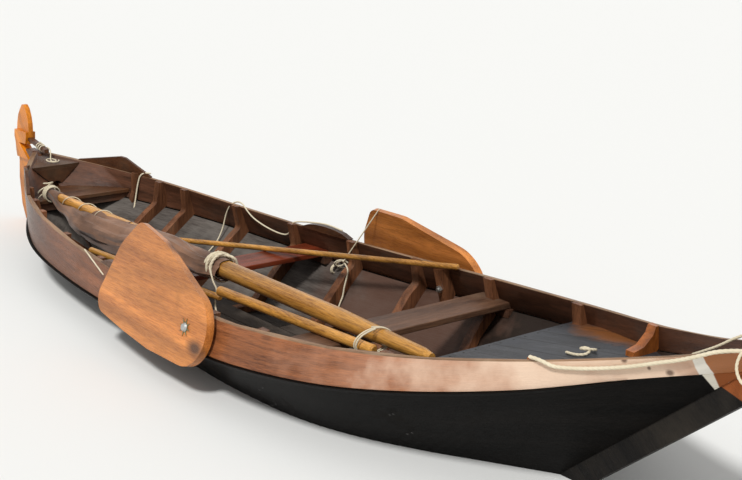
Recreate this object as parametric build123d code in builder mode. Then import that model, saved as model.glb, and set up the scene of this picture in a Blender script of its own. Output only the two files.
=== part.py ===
"""Flat-bottomed, double-ended sailing and rowing punt with its spars and sail stowed.

Millimetres. +X is the bow, +Y the port side, +Z up, and the flat bottom stands on Z = 0.
Stations along the boat are counted from the aft end of the sheer, at x = STERN.
"""
from build123d import *
from math import atan2, cos, degrees, pi, radians, sin, tan
import os

os.makedirs("parts", exist_ok=True)

# Driving dimensions of the hull
LENGTH = 6200
BEAM = 1600
DEPTH = 520
AFT_OVERHANG = 850
FORE_OVERHANG = 1140
CHINE_FORE = LENGTH - FORE_OVERHANG

# Plank and timber thicknesses, and the gap left between pieces that are seated together
BOTTOM_PLANK = 28
SIDE_PLANK = 22
TOP_STRAKE = 22
RUB_DEPTH = 38
RUB_PROUD = 12
FRAME_SIDED = 58
FRAME_MOULDED = 134
FLOOR_LEVEL = 70
FLOORBOARD = 18
SEAT = 0.3

# Stems: width across the boat, depth square to their length, and how far they stand proud
STEM_WIDTH = 64
BOW_STEM_DEPTH = 96
STERN_STEM_DEPTH = 78
BOW_HEAD = 60
STERN_HEAD = 4
STEM_BEVEL = 16

# Decks and seats: height of the top, thickness, and fore-and-aft reach as stations
THWART_WIDTH = 220
MAST_THWART_TOP = 470
MAST_THWART_BOARD = 34
RED_THWART_TOP = 400
RED_THWART_PLACE = 0.379
RED_THWART_BOARD = 30
BENCH_TOP = 485
BENCH = (330, 657)
BENCH_BOARD = 26
DECK_BOARD = 22
FOREDECK_TOP = 548
FOREDECK = (LENGTH - 1635, LENGTH - 440)
FOREDECK_SLOPE = 9
STERN_DECK_TOP = 622
STERN_DECK = (60, 285)
STERN_DECK_SLOPE = -7

# Leeboards. Each bolt has a place along the length and a height; then the stand-off from the
# strake, the lean of their plane, and how they hang at rest.
PORT_PIVOT = (0.566, 462)
STARBOARD_PIVOT = (0.554, 484)
PIN_RADIUS = 11
PIN_FIT = 0.06
BOARD_LEAN = 15
BOARD_STAND_OFF = 36
BOARD_HEAD = 42
BOARD_FOOT = 20
STARBOARD_RAISE = 9
PORT_RAISE = -1.5

# Rudder, as it hangs on the raked stern
RUDDER_REACH = 300
RUDDER_BOARD = 34
RUDDER_CHEEK = 18
RUDDER_GAP = 22
RUDDER_FOOT = 45
PINTLE_RADIUS = 6
PINTLE_FIT = 0.06
TILLER_DEPTH = 26
TILLER_SLOPE = 10
TILLER_FORE = 150
TILLER_ABOVE_DECK = 74

# Spars, stowed: radii, reach forward and aft of what carries them, and distances out to port
MAST_RADIUS = 49
MAST_TIP_RADIUS = 30
MAST_HEEL_REACH = 610
MAST_HEAD_REACH = 60
MAST_OUT = -205
SPRIT_RADIUS = 26
SPRIT_ENDS = ((-855, -398), (335, -312))
POLE_RADIUS = 16
POLE_REACH = (-860, 130)
POLE_OUT = (205, 694)
BOOM_RADIUS = 18
BOOM_ENDS = ((-660, -455), (580, -330))

# The lines of the hull. Station is a share of the length; out is a half breadth as a share
# of half the beam, and up is a height as a share of the depth amidships.
LINES = (
    # station, chine out, chine up, knuckle out, knuckle up, sheer out, sheer up
    (0.00, 0.044, 0.115, 0.050, 0.894, 0.050, 1.288),
    (0.06, 0.175, 0.067, 0.444, 0.815, 0.338, 1.188),
    (0.13, 0.294, 0.029, 0.681, 0.740, 0.559, 1.106),
    (0.20, 0.388, 0.010, 0.815, 0.688, 0.695, 1.046),
    (0.30, 0.488, 0.000, 0.899, 0.658, 0.801, 1.002),
    (0.40, 0.550, 0.000, 0.944, 0.660, 0.868, 0.992),
    (0.50, 0.600, 0.000, 0.983, 0.692, 0.916, 1.019),
    (0.60, 0.638, 0.000, 1.000, 0.763, 0.923, 1.087),
    (0.70, 0.644, 0.000, 0.920, 0.888, 0.838, 1.194),
    (0.78, 0.570, 0.010, 0.758, 1.037, 0.681, 1.327),
    (0.86, 0.412, 0.038, 0.515, 1.238, 0.441, 1.508),
    (0.93, 0.238, 0.087, 0.270, 1.477, 0.226, 1.712),
    (1.00, 0.044, 0.173, 0.050, 1.702, 0.050, 1.962),
)
LAST = len(LINES) - 1

# The rake of each stem runs straight from the end of the chine to the end of the sheer.
bow_rise = DEPTH * (LINES[LAST][6] - LINES[LAST][2])
stern_rise = DEPTH * (LINES[0][6] - LINES[0][2])
bow_rake = degrees(atan2(bow_rise, LENGTH - CHINE_FORE))
stern_rake = degrees(atan2(stern_rise, AFT_OVERHANG))
bow_reach = LENGTH + BOW_HEAD / tan(radians(bow_rake)) + BOW_STEM_DEPTH / sin(radians(bow_rake))
bow_reach -= STEM_BEVEL * cos(radians(bow_rake))
STERN = (RUDDER_REACH - bow_reach) / 2


def stem_x(height, end):
    """The x of a stem's inner line at a height; end is 0 aft and LAST forward."""
    foot, head, rise = (CHINE_FORE, LENGTH, bow_rise) if end else (AFT_OVERHANG, 0, stern_rise)
    return STERN + foot + (head - foot) * (height - DEPTH * LINES[end][2]) / rise


def line_of(kind):
    """Points of the port chine (0), knuckle (1) or sheer (2), from aft to forward."""
    aft, fore = [stem_x(DEPTH * LINES[end][2 + 2 * kind], end) for end in (0, LAST)]
    return [
        Vector(aft + (fore - aft) * row[0], BEAM / 2 * row[1 + 2 * kind], DEPTH * row[2 + 2 * kind])
        for row in LINES
    ]


CHINE = line_of(0)
KNUCKLE = line_of(1)
SHEER = line_of(2)
PLANK_FOOT = [Vector(p.X, p.Y, p.Z + BOTTOM_PLANK) for p in CHINE]
for end in (0, LAST):
    PLANK_FOOT[end].X = stem_x(PLANK_FOOT[end].Z, end)


def on_line(line, station):
    """The half breadth and the height of a line at a station."""
    for a, b in zip(line, line[1:]):
        if STERN + station <= b.X:
            break
    share = (STERN + station - a.X) / (b.X - a.X)
    return a.Y + (b.Y - a.Y) * share, a.Z + (b.Z - a.Z) * share


def along(line, i):
    """The direction of a line at one of its points."""
    return (line[min(i + 1, LAST)] - line[max(i - 1, 0)]).normalized()


def inward(i):
    """The level direction from the port knuckle into the boat."""
    run = along(KNUCKLE, i)
    return Vector(run.Y, -run.X, 0).normalized()


def level_share(low, high, i):
    """Level distance through a plank for each millimetre of its thickness."""
    face = along(KNUCKLE, i).cross(high[i] - low[i]).normalized()
    return 1 / abs(face.dot(inward(i)))


def solid_of(sections, edges):
    """A solid of flat facets from section to section; edges are pairs of corner numbers."""
    rim = [corner for corner, _ in edges]
    facets = [[section[corner] for corner in rim] for section in (sections[0], sections[-1])]
    for a, b in zip(sections, sections[1:]):
        for edge in edges:
            p, q = sorted(edge)
            facets += [(a[p], b[p], b[q]), (a[p], b[q], a[q])]
    return Solid(Shell([Face(Wire.make_polygon(corners)) for corners in facets]))


def ruled_strip(lines, outer, inner, first=0, last=LAST):
    """A port plank through lines that lie in one face, from low to high; outer and inner are
    millimetres of thickness inside that face. All strips between two lines share their facets."""
    low, high, count = lines[0], lines[-1], len(lines)
    sections = []
    for i in range(first, last + 1):
        into = inward(i) * level_share(low, high, i)
        sections.append([line[i] + into * depth for depth in (outer, inner) for line in lines])
    up = [(k, k + 1) for k in range(count - 1)]
    down = [(count + k + 1, count + k) for k in reversed(range(count - 1))]
    with BuildPart() as strip:
        add(solid_of(sections, up + [(count - 1, 2 * count - 1)] + down + [(count, 0)]))
    return strip.part


def mirrored(part):
    """The starboard copy of a port piece."""
    with BuildPart() as copy:
        add(part)
        mirror(about=Plane.XZ, mode=Mode.REPLACE)
    return copy.part


def between(low, high, share):
    """A line part of the way from one line to another, at each ruling."""
    return [a + (b - a) * share for a, b in zip(low, high)]


SEAM = [Vector(p.X, p.Y, p.Z - SEAT) for p in KNUCKLE]
RUB_FOOT = [top - (top - foot).normalized() * RUB_DEPTH for foot, top in zip(PLANK_FOOT, SEAM)]
SIDE_LINES = [PLANK_FOOT, RUB_FOOT, SEAM]
STRAKE_LINES = [KNUCKLE, SHEER]


def void_outside(lines, below, above, thickness):
    """What lies outside a plank's inner face, run past its edges by shares of its breadth."""
    low, high = lines[0], lines[-1]
    reach = [between(low, high, -below), *lines, between(low, high, 1 + above)]
    return ruled_strip(reach, -BEAM / 2, thickness + SEAT)


# Everything outside the planking's inner faces, as solids that cut the inner pieces to the hull
side_void = void_outside(SIDE_LINES, 0.1, 0.06, SIDE_PLANK)
strake_void = void_outside(STRAKE_LINES, 0.3, 1.6, TOP_STRAKE)
with BuildPart() as bottom_void:
    with BuildSketch(Plane.XZ):
        inner_bottom = [(p.X, p.Z + SEAT) for p in PLANK_FOOT]
        Polygon(*inner_bottom, (inner_bottom[-1][0], -DEPTH), (inner_bottom[0][0], -DEPTH), align=None)
    extrude(amount=BEAM, both=True)
HULL_VOIDS = [bottom_void.part, side_void, mirrored(side_void), strake_void, mirrored(strake_void)]


def cut_to_hull(part, *others):
    """A piece trimmed by the planking, and by anything else given."""
    with BuildPart() as trimmed:
        add(part)
        for void in (*HULL_VOIDS, *others):
            add(void, mode=Mode.SUBTRACT)
    return trimmed.part


# Bottom: one thickness of planks between the chines, flat amidships and rising to the ends
with BuildPart() as bottom_planks:
    with BuildSketch(Plane.XZ):
        Polygon(*[(p.X, p.Z) for p in CHINE + PLANK_FOOT[::-1]], align=None)
    extrude(amount=BEAM, both=True)
    with BuildSketch():
        half = [(p.X, p.Y) for p in PLANK_FOOT]
        Polygon(*half, *[(x, -y) for x, y in half[::-1]], align=None)
    extrude(amount=DEPTH, mode=Mode.INTERSECT)

with BuildPart() as side_plank_port:
    add(ruled_strip(SIDE_LINES, 0, SIDE_PLANK))

with BuildPart() as side_plank_starboard:
    add(mirrored(side_plank_port.part))


def out_at(line, station):
    """A point of the port side, as a position in the boat."""
    out, up = on_line(line, station)
    return Vector(STERN + station, out, up)


def board_plane(place, height):
    """A leeboard's plane, drawn to port: its origin on the inner face at the bolt, x aft."""
    knuckle, sheer = out_at(KNUCKLE, LENGTH * place), out_at(SHEER, LENGTH * place)
    share = (height - knuckle.Z) / (sheer.Z - knuckle.Z)
    return Plane(
        origin=(sheer.X, knuckle.Y + (sheer.Y - knuckle.Y) * share + BOARD_STAND_OFF, height),
        x_dir=(-1, 0, 0),
        z_dir=(0, cos(radians(BOARD_LEAN)), sin(radians(BOARD_LEAN))),
    )


PORT_PLANE = board_plane(*PORT_PIVOT)
STARBOARD_PLANE = board_plane(*STARBOARD_PIVOT)
BOLT_BLOCK = 64
BOLT_TAIL = 24
PIN_INBOARD = BOARD_STAND_OFF + TOP_STRAKE + BOLT_BLOCK + BOLT_TAIL


def bolt_hole(part, plane):
    """A piece bored along a leeboard's bolt."""
    with BuildPart() as bored:
        add(part)
        with BuildSketch(plane):
            Circle(PIN_RADIUS + SEAT)
        extrude(amount=-2 * PIN_INBOARD, mode=Mode.SUBTRACT)
    return bored.part


# Top strakes: they lean inboard amidships and flare at the bow, each bored for a leeboard's bolt
strake = ruled_strip(STRAKE_LINES, 0, TOP_STRAKE)
with BuildPart() as top_strake_port:
    add(bolt_hole(strake, PORT_PLANE))

with BuildPart() as top_strake_starboard:
    add(mirrored(bolt_hole(strake, STARBOARD_PLANE)))

# Rub strake: a narrow ledge on the side plank, just under the top strake
with BuildPart() as rub_strake_port:
    add(ruled_strip([RUB_FOOT, SEAM], -RUB_PROUD, -SEAT, 1, LAST - 1))

with BuildPart() as rub_strake_starboard:
    add(mirrored(rub_strake_port.part))


def stem_bar(end, depth, head):
    """A raked stem with a level foot and a head that stands above the sheer."""
    low, high = DEPTH * LINES[end][2], DEPTH * LINES[end][6] + head
    rake = radians(bow_rake if end else stern_rake)
    out = (1 if end else -1) * depth / sin(rake)
    foot = low - depth * cos(rake) * 0.5
    with BuildPart() as bar:
        with BuildSketch(Plane.XZ.offset(-STEM_WIDTH / 2)):
            Polygon(
                (stem_x(foot, end), foot),
                (stem_x(foot, end) + out, foot),
                (stem_x(high, end) + out, high),
                (stem_x(high, end), high),
                align=None,
            )
        extrude(amount=STEM_WIDTH)
        chamfer(bar.faces().sort_by(Axis.Z)[-1].edges().filter_by(Axis.Y), length=STEM_BEVEL)
    return bar.part


with BuildPart() as bow_stem:
    add(stem_bar(LAST, BOW_STEM_DEPTH, BOW_HEAD))

with BuildPart() as stern_stem:
    add(stem_bar(0, STERN_STEM_DEPTH, STERN_HEAD))

# Frames: places of the full ones as shares of the length, their heads, waists and feet
FRAME_PLACES = (0.147, 0.184, 0.265, 0.352, 0.440, 0.529, 0.627, 0.747)
FRAMES = [LENGTH * place for place in FRAME_PLACES]
MAST_FRAME = FRAMES[6]
FRAME_HEAD = 50
FRAME_WAIST = 84
FOOT_ARM = 110
FOOT_GAP = 12
FLOOR_MIN = 30
FRAME_EXCESS = 120
BEND_RADIUS = 24
WAIST_RADIUS = 30


def across(place, width):
    """The stations of a board's two edges, from the place of its middle."""
    return place - width / 2, place + width / 2


MAST_THWART = across(MAST_FRAME, THWART_WIDTH)
RED_THWART = across(LENGTH * RED_THWART_PLACE, THWART_WIDTH)


def side_slope(station):
    """The chine point, the knuckle point, and how far the side runs out for each mm of rise."""
    chine, knuckle = on_line(CHINE, station), on_line(KNUCKLE, station)
    return chine, knuckle, (knuckle[0] - chine[0]) / (knuckle[1] - chine[1])


def floor_top(station):
    """The height of a floor timber's top at a station."""
    return max(FLOOR_LEVEL, on_line(CHINE, station)[1] + BOTTOM_PLANK + FLOOR_MIN)


def frame_foot(station):
    """Where the inner face of a frame meets the floor timber's top, and its inboard end."""
    chine, _, slope = side_slope(station)
    heel = chine[0] + (floor_top(station) - chine[1]) * slope - FRAME_MOULDED
    return heel, heel - FOOT_ARM


def frame_outline(station, grow=0):
    """The port frame in (y, z): S-shaped inside, and oversize outside to be cut to the hull."""
    chine, knuckle, slope = side_slope(station)
    sheer = on_line(SHEER, station)
    floor = chine[1]
    heel, toe = frame_foot(station)
    if toe > FOOT_GAP:
        inner = [(toe, floor), (toe, floor_top(station)), (heel, floor_top(station))]
    else:
        reach = max(heel, FOOT_GAP)
        meet = chine[1] + (reach + FRAME_MOULDED - chine[0]) / slope
        inner = [(reach, floor), (reach, meet)]
    bend = (knuckle[0] - FRAME_MOULDED - 14 * slope, knuckle[1] - 14)
    waist = (knuckle[0] - FRAME_WAIST, knuckle[1] + 34)
    head = (sheer[0] - FRAME_HEAD, sheer[1] - SEAT)
    inner = [(y - grow, z) for y, z in inner + [bend, waist, head]]
    outer = [(sheer[0], sheer[1] - SEAT), (knuckle[0], knuckle[1]), (chine[0], floor)]
    return inner + [(y + FRAME_EXCESS, z) for y, z in outer]


def frame_blank(station, grow=0):
    """One port frame before it is cut to the planking; grow makes it larger all round."""
    outline = frame_outline(station, grow)
    with BuildPart() as timber:
        with BuildSketch(Plane.YZ.offset(STERN + station - FRAME_SIDED / 2 - grow)) as shape:
            Polygon(*outline, align=None)
            for corner, radius in ((outline[-6], BEND_RADIUS), (outline[-5], WAIST_RADIUS)):
                fillet(shape.vertices().sort_by_distance(corner)[0], radius=radius)
        extrude(amount=FRAME_SIDED + 2 * grow)
    return timber.part


with BuildPart() as side_frames_port:
    for station in FRAMES:
        add(cut_to_hull(frame_blank(station)))

with BuildPart() as side_frames_starboard:
    add(mirrored(side_frames_port.part))

# Floor timbers: they fill the gap between a pair of frame feet, on the bottom planks
with BuildPart() as floor_blanks:
    for station in FRAMES:
        heel, toe = frame_foot(station)
        if toe > FOOT_GAP:
            with BuildSketch(Plane.YZ.offset(STERN + station - FRAME_SIDED / 2)):
                with Locations((0, floor_top(station))):
                    Rectangle(2 * toe - 2 * SEAT, FLOOR_LEVEL, align=(Align.CENTER, Align.MAX))
            extrude(amount=FRAME_SIDED)

with BuildPart() as floor_timbers:
    add(floor_blanks.part)
    add(bottom_void.part, mode=Mode.SUBTRACT)

# Floorboards: out to port, and the frame at the aft end; laid loose on the floor timbers
BOARD_WIDTH = 120
BOARDS = ((-252, 4), (-126, 3), (0, 2), (126, 3), (252, 4))
with BuildPart() as floorboards:
    for out, first in BOARDS:
        aft, fore = FRAMES[first] - FRAME_SIDED / 2, MAST_FRAME + FRAME_SIDED / 2
        with BuildSketch(Plane.XY.offset(FLOOR_LEVEL + SEAT)):
            with Locations((STERN + (aft + fore) / 2, out)):
                Rectangle(fore - aft, BOARD_WIDTH)
        extrude(amount=FLOORBOARD)

# The frames, a little larger, which notch whatever passes them
with BuildPart() as frame_notches:
    for station in FRAMES:
        add(frame_blank(station, SEAT))
    mirror(about=Plane.XZ)


def fit_inside(part):
    """A piece cut to the planking and notched round the frames."""
    return cut_to_hull(part, frame_notches.part)


def cross_board(span, top, thickness):
    """A level board from side to side, with eased edges."""
    with BuildPart() as board:
        with BuildSketch(Plane.XY.offset(top)):
            with Locations((STERN + sum(span) / 2, 0)):
                Rectangle(span[1] - span[0], BEAM)
        extrude(amount=-thickness)
        fillet(board.edges().filter_by(Axis.Y), radius=thickness / 6)
    return fit_inside(board.part)


with BuildPart() as mast_thwart:
    add(cross_board(MAST_THWART, MAST_THWART_TOP, MAST_THWART_BOARD))

with BuildPart() as red_thwart:
    add(cross_board(RED_THWART, RED_THWART_TOP, RED_THWART_BOARD))

with BuildPart() as stern_bench:
    add(cross_board(BENCH, BENCH_TOP, BENCH_BOARD))

# Thwart cleats: short blocks on the planking under each thwart's ends
CLEAT_HEIGHT = 44
CLEAT_INBOARD = 74
CLEAT_BEYOND = 20
with BuildPart() as cleat_blanks:
    for span, under in (
        (MAST_THWART, MAST_THWART_TOP - MAST_THWART_BOARD),
        (RED_THWART, RED_THWART_TOP - RED_THWART_BOARD),
    ):
        start = on_line(KNUCKLE, sum(span) / 2)[0] - CLEAT_INBOARD
        with BuildSketch(Plane.XY.offset(under - SEAT)):
            with Locations((STERN + sum(span) / 2, start)):
                Rectangle(span[1] - span[0] + 2 * CLEAT_BEYOND, BEAM / 8, align=(Align.CENTER, Align.MIN))
        extrude(amount=-CLEAT_HEIGHT)
    mirror(about=Plane.XZ)

with BuildPart() as thwart_cleats:
    add(fit_inside(cleat_blanks.part))


def sloping_deck(span, top, slope, thickness):
    """A deck whose top is given at the end nearer amidships; slope in degrees."""
    near, far = span if slope > 0 else span[::-1]
    rise = (far - near) * tan(radians(slope))
    with BuildPart() as deck:
        with BuildSketch(Plane.XZ.offset(-BEAM / 2)):
            Polygon(
                (STERN + near, top),
                (STERN + far, top + rise),
                (STERN + far, top + rise - thickness),
                (STERN + near, top - thickness),
                align=None,
            )
        extrude(amount=BEAM)
    return fit_inside(deck.part)


with BuildPart() as foredeck:
    add(sloping_deck(FOREDECK, FOREDECK_TOP, FOREDECK_SLOPE, DECK_BOARD))

with BuildPart() as stern_deck:
    add(sloping_deck(STERN_DECK, STERN_DECK_TOP, STERN_DECK_SLOPE, DECK_BOARD))

# Beams under the free edges of the foredeck and of the bench
BEAM_DEPTH = 46
BEAM_SIDED = 30


def deck_beam(station, top):
    """A straight beam from side to side, just under a board."""
    with BuildPart() as timber:
        with BuildSketch(Plane.XY.offset(top - SEAT)):
            with Locations((STERN + station, 0)):
                Rectangle(BEAM_SIDED, BEAM)
        extrude(amount=-BEAM_DEPTH)
    return fit_inside(timber.part)


with BuildPart() as foredeck_beam:
    add(deck_beam(FOREDECK[0] + BEAM_SIDED / 2, FOREDECK_TOP - DECK_BOARD))

with BuildPart() as bench_beam:
    add(deck_beam(BENCH[1] - BEAM_SIDED, BENCH_TOP - BENCH_BOARD))

# Stern apron: a scalloped board that hangs under the stern deck's free edge
APRON = 19
APRON_DROP = 104
SCALLOPS = 5
SCALLOP_RISE = 20
with BuildPart() as apron_blank:
    apron_top = STERN_DECK_TOP - DECK_BOARD - SEAT
    apron_half = on_line(SHEER, STERN_DECK[1])[0]
    scallop = 2 * apron_half / SCALLOPS
    with BuildSketch(Plane.YZ.offset(STERN + STERN_DECK[1] - APRON)):
        with Locations((0, apron_top)):
            Rectangle(2 * apron_half + 2 * SEAT, APRON_DROP, align=(Align.CENTER, Align.MAX))
        with Locations((0, apron_top - APRON_DROP + SCALLOP_RISE - scallop / 2)):
            with GridLocations(scallop, 1, SCALLOPS, 1):
                Circle(scallop / 2, mode=Mode.SUBTRACT)
    extrude(amount=APRON)

with BuildPart() as stern_apron:
    add(fit_inside(apron_blank.part))

# Knees: a pair against the strakes just forward of the bench, and a crooked pair on the foredeck
KNEE_SIDED = 46
BENCH_KNEE = BENCH[1] + 43
DECK_KNEE = LENGTH - 930
KNEE_EXCESS = 120


def knee_pair(station, outline):
    """A pair of knees; the outline is in (out, up) from the sheer at that station."""
    out, up = on_line(SHEER, station)
    with BuildPart() as knees:
        with BuildSketch(Plane.YZ.offset(STERN + station - KNEE_SIDED / 2)):
            Polygon(*[(out + y, up + z) for y, z in outline], align=None)
        extrude(amount=KNEE_SIDED)
        mirror(about=Plane.XZ)
    return cut_to_hull(knees.part)


with BuildPart() as stern_knees:
    head, foot = 12, -270
    face = ((-44, head), (-48, -110), (-70, -170), (-74, foot))
    add(knee_pair(BENCH_KNEE, face + ((KNEE_EXCESS, foot), (KNEE_EXCESS, head))))

knee_front = DECK_KNEE + KNEE_SIDED / 2
deck_under_knee = FOREDECK_TOP + (knee_front - FOREDECK[0]) * tan(radians(FOREDECK_SLOPE)) + SEAT
knee_foot = deck_under_knee - on_line(SHEER, DECK_KNEE)[1]
KNEE_OUTLINE = ((-46, 4), (-60, -30), (-112, knee_foot + 36), (-172, knee_foot + 24), (-172, knee_foot))
with BuildPart() as bow_knees:
    add(knee_pair(DECK_KNEE, KNEE_OUTLINE + ((KNEE_EXCESS, knee_foot), (KNEE_EXCESS, 4))))

# Short frames: each takes a leeboard's bolt; the port one also carries the pole's forward end
SHORT_DROP = 9
SHORT_FOOT = 345


def short_frame(plane):
    """A port timber with its face parallel to the leeboard, from below the knuckle to the sheer."""
    station = plane.origin.X - STERN
    top = on_line(SHEER, station)[1] - SHORT_DROP
    back = BOARD_STAND_OFF + TOP_STRAKE + BOLT_BLOCK

    def face(height):
        above = height - plane.origin.Z
        return plane.origin.Y - (back + above * sin(radians(BOARD_LEAN))) / cos(radians(BOARD_LEAN))

    with BuildPart() as timber:
        with BuildSketch(Plane.YZ.offset(plane.origin.X - FRAME_SIDED / 2)):
            Polygon(
                (face(top), top),
                (face(SHORT_FOOT), SHORT_FOOT),
                (face(SHORT_FOOT) + BEAM / 4, SHORT_FOOT),
                (face(top) + BEAM / 4, top),
                align=None,
            )
        extrude(amount=FRAME_SIDED)
    return bolt_hole(cut_to_hull(timber.part), plane)


with BuildPart() as short_frames:
    add(short_frame(PORT_PLANE))
    add(mirrored(short_frame(STARBOARD_PLANE)))

# The inner edge of the strake's top, ruling by ruling
SHEER_INNER = [
    SHEER[i] + inward(i) * TOP_STRAKE * level_share(KNUCKLE, SHEER, i) for i in range(LAST + 1)
]


def across_sheer(station):
    """A plane across the strake's top: x inboard from its outer edge, and y up."""
    i = max(k for k in range(LAST) if SHEER[k].X <= STERN + station)
    share = (STERN + station - SHEER[i].X) / (SHEER[i + 1].X - SHEER[i].X)
    outer = SHEER[i] + (SHEER[i + 1] - SHEER[i]) * share
    inner = SHEER_INNER[i] + (SHEER_INNER[i + 1] - SHEER_INNER[i]) * share
    across = inner - outer
    return Plane(origin=outer + Vector(0, 0, SEAT), x_dir=across, z_dir=across.cross(Vector(0, 0, 1)))


def along_sheer(rows, inner, outer):
    """A port board on top of the strake; rows are station and height."""
    sections = []
    for station, height in rows:
        plane = across_sheer(station)
        corners = ((-outer, 0), (inner, 0), (inner, height), (-outer, height))
        sections.append([plane.from_local_coords(Vector(x, y, 0)) for x, y in corners])
    with BuildPart() as board:
        add(solid_of(sections, [(0, 1), (1, 2), (2, 3), (3, 0)]))
    return board.part


# Quarter boards: wedges that raise the sheer beside the helm
STERN_BEND = LENGTH * LINES[1][0]
QUARTER_BEND = LENGTH * LINES[2][0]
QUARTER_BOARD = ((250, 6), (STERN_BEND, 42), (570, 95), (610, 94), (QUARTER_BEND, 8))
with BuildPart() as quarter_board_port:
    add(along_sheer(QUARTER_BOARD, TOP_STRAKE - 1, -1))

with BuildPart() as quarter_board_starboard:
    add(mirrored(quarter_board_port.part))

# Rowlock cheeks: rounded humps that stiffen the sheer where an oar works
ROWLOCK_BEND = LENGTH * LINES[5][0]
ROWLOCK = ((-210, 4), (-150, 26), (-80, 38), (0, 42), (80, 38), (160, 26), (220, 4))
ROWLOCK_INBOARD = TOP_STRAKE + 12
with BuildPart() as rowlock_cheeks:
    add(along_sheer([(ROWLOCK_BEND + ahead, up) for ahead, up in ROWLOCK], ROWLOCK_INBOARD, 2))
    mirror(about=Plane.XZ)

# Leeboard outline in the board's plane, as circles that a taut band would enclose
BOARD_CIRCLES = (
    # along from the bolt, up, radius
    (0, 0, 185),
    (420, 50, 235),
    (300, -50, 190),
    (560, 0, 260),
    (625, 205, 85),
    (800, -185, 85),
)
BOARD_TAPER = 900


def leeboard(plane, raise_angle):
    """A port leeboard whose foot is raised by an angle above level."""
    turned = Plane(plane * Rotation(0, 0, raise_angle))
    side_on = Plane(origin=turned.origin, x_dir=turned.x_dir, z_dir=-turned.y_dir)
    with BuildPart() as board:
        with BuildSketch(turned):
            with BuildLine():
                for out, up, radius in BOARD_CIRCLES:
                    CenterArc((out, up), radius, 0, 360)
            make_hull()
        extrude(amount=BOARD_HEAD)
        with BuildSketch(side_on):
            Polygon(
                (0, BOARD_HEAD),
                (BOARD_TAPER, BOARD_FOOT),
                (BOARD_TAPER, BOARD_HEAD + 1),
                (0, BOARD_HEAD + 1),
                align=None,
            )
        extrude(amount=BOARD_TAPER, both=True, mode=Mode.SUBTRACT)
        with BuildSketch(turned):
            Circle(PIN_RADIUS + PIN_FIT)
        extrude(amount=BOARD_HEAD, mode=Mode.SUBTRACT)
    return board.part


with BuildPart() as leeboard_port:
    add(leeboard(PORT_PLANE, PORT_RAISE))

with BuildPart() as leeboard_starboard:
    add(mirrored(leeboard(STARBOARD_PLANE, STARBOARD_RAISE)))

# Star plates: a rayed washer let in flush round the bolt would wear, so it lies on the board
STAR_RAYS = 8
STAR_RADIUS = 46
STAR_WAIST = 24
STAR_RAY = 9
STAR_PLATE = 2.5


def star_plate(plane, raise_angle):
    """The rayed plate on a port leeboard's outer face."""
    face = Plane(plane * Rotation(0, 0, raise_angle)).offset(BOARD_HEAD + SEAT)
    with BuildPart() as star:
        with BuildSketch(face):
            Circle(STAR_WAIST)
            with PolarLocations(0, STAR_RAYS):
                Polygon((0, -STAR_RAY), (STAR_RADIUS, 0), (0, STAR_RAY), align=None)
            Circle(PIN_RADIUS + PIN_FIT, mode=Mode.SUBTRACT)
        extrude(amount=STAR_PLATE)
    return star.part


with BuildPart() as star_plate_port:
    add(star_plate(PORT_PLANE, PORT_RAISE))

with BuildPart() as star_plate_starboard:
    add(mirrored(star_plate(STARBOARD_PLANE, STARBOARD_RAISE)))

# Leeboard bolts: shank, domed head outside the star plate, and a nut on the short frame
BOLT_HEAD = 22
BOLT_HEAD_HEIGHT = 10
BOLT_PLAY = 1
NUT = 38
NUT_HEIGHT = 16
PAD_RADIUS = 58
PAD_PLAY = 0.6
bolt_head_base = BOARD_HEAD + SEAT + STAR_PLATE + BOLT_PLAY
strake_band = ruled_strip([*STRAKE_LINES, between(*STRAKE_LINES, 2)], -SEAT, BEAM / 4)


def bolt(plane):
    """A leeboard's bolt, from inboard of its nut to its domed head."""
    with BuildPart() as made:
        with BuildSketch(plane.offset(-PIN_INBOARD)):
            Circle(PIN_RADIUS)
        extrude(amount=PIN_INBOARD + bolt_head_base)
        with BuildSketch(plane.offset(bolt_head_base)):
            Circle(BOLT_HEAD)
        extrude(amount=BOLT_HEAD_HEIGHT, taper=30)
    return made.part


def pad(plane):
    """A round block on the outside of the strake, which a leeboard bears on."""
    with BuildPart() as made:
        with BuildSketch(plane.offset(-PAD_PLAY)):
            Circle(PAD_RADIUS)
            Circle(PIN_RADIUS + SEAT, mode=Mode.SUBTRACT)
        extrude(amount=-2 * BOARD_STAND_OFF)
        add(strake_band, mode=Mode.SUBTRACT)
    return made.part


def nut(plane):
    """A nut seated on the short frame's face."""
    with BuildPart() as made:
        with BuildSketch(plane.offset(-BOARD_STAND_OFF - TOP_STRAKE - BOLT_BLOCK - SEAT)):
            RegularPolygon(NUT / 2, 6)
            Circle(PIN_RADIUS + SEAT, mode=Mode.SUBTRACT)
        extrude(amount=-NUT_HEIGHT)
    return made.part


with BuildPart() as leeboard_bolts:
    add(bolt(PORT_PLANE))
    add(mirrored(bolt(STARBOARD_PLANE)))

with BuildPart() as leeboard_pads:
    add(pad(PORT_PLANE))
    add(mirrored(pad(STARBOARD_PLANE)))

with BuildPart() as bolt_nuts:
    add(nut(PORT_PLANE))
    add(mirrored(nut(STARBOARD_PLANE)))

# Rudder: hung parallel to the stern stem, its axis half way across the gap
RAKE = radians(stern_rake)
stem_aft = STERN_STEM_DEPTH / sin(RAKE)


def behind_stem(gap, height):
    """A point of the rudder's plane at a distance square aft of the stem's aft face."""
    return stem_x(height, 0) - stem_aft - gap / sin(RAKE), height


def tiller_band(low, high, fore=LENGTH / 2):
    """The side view of what lies between two heights above the tiller's centre line."""
    corners = []
    for station, height in ((fore, low), (fore, high), (-RUDDER_REACH, high), (-RUDDER_REACH, low)):
        rise = (TILLER_FORE - station) * tan(radians(TILLER_SLOPE))
        corners.append((STERN + station, STERN_DECK_TOP + TILLER_ABOVE_DECK + rise + height))
    return corners


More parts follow.
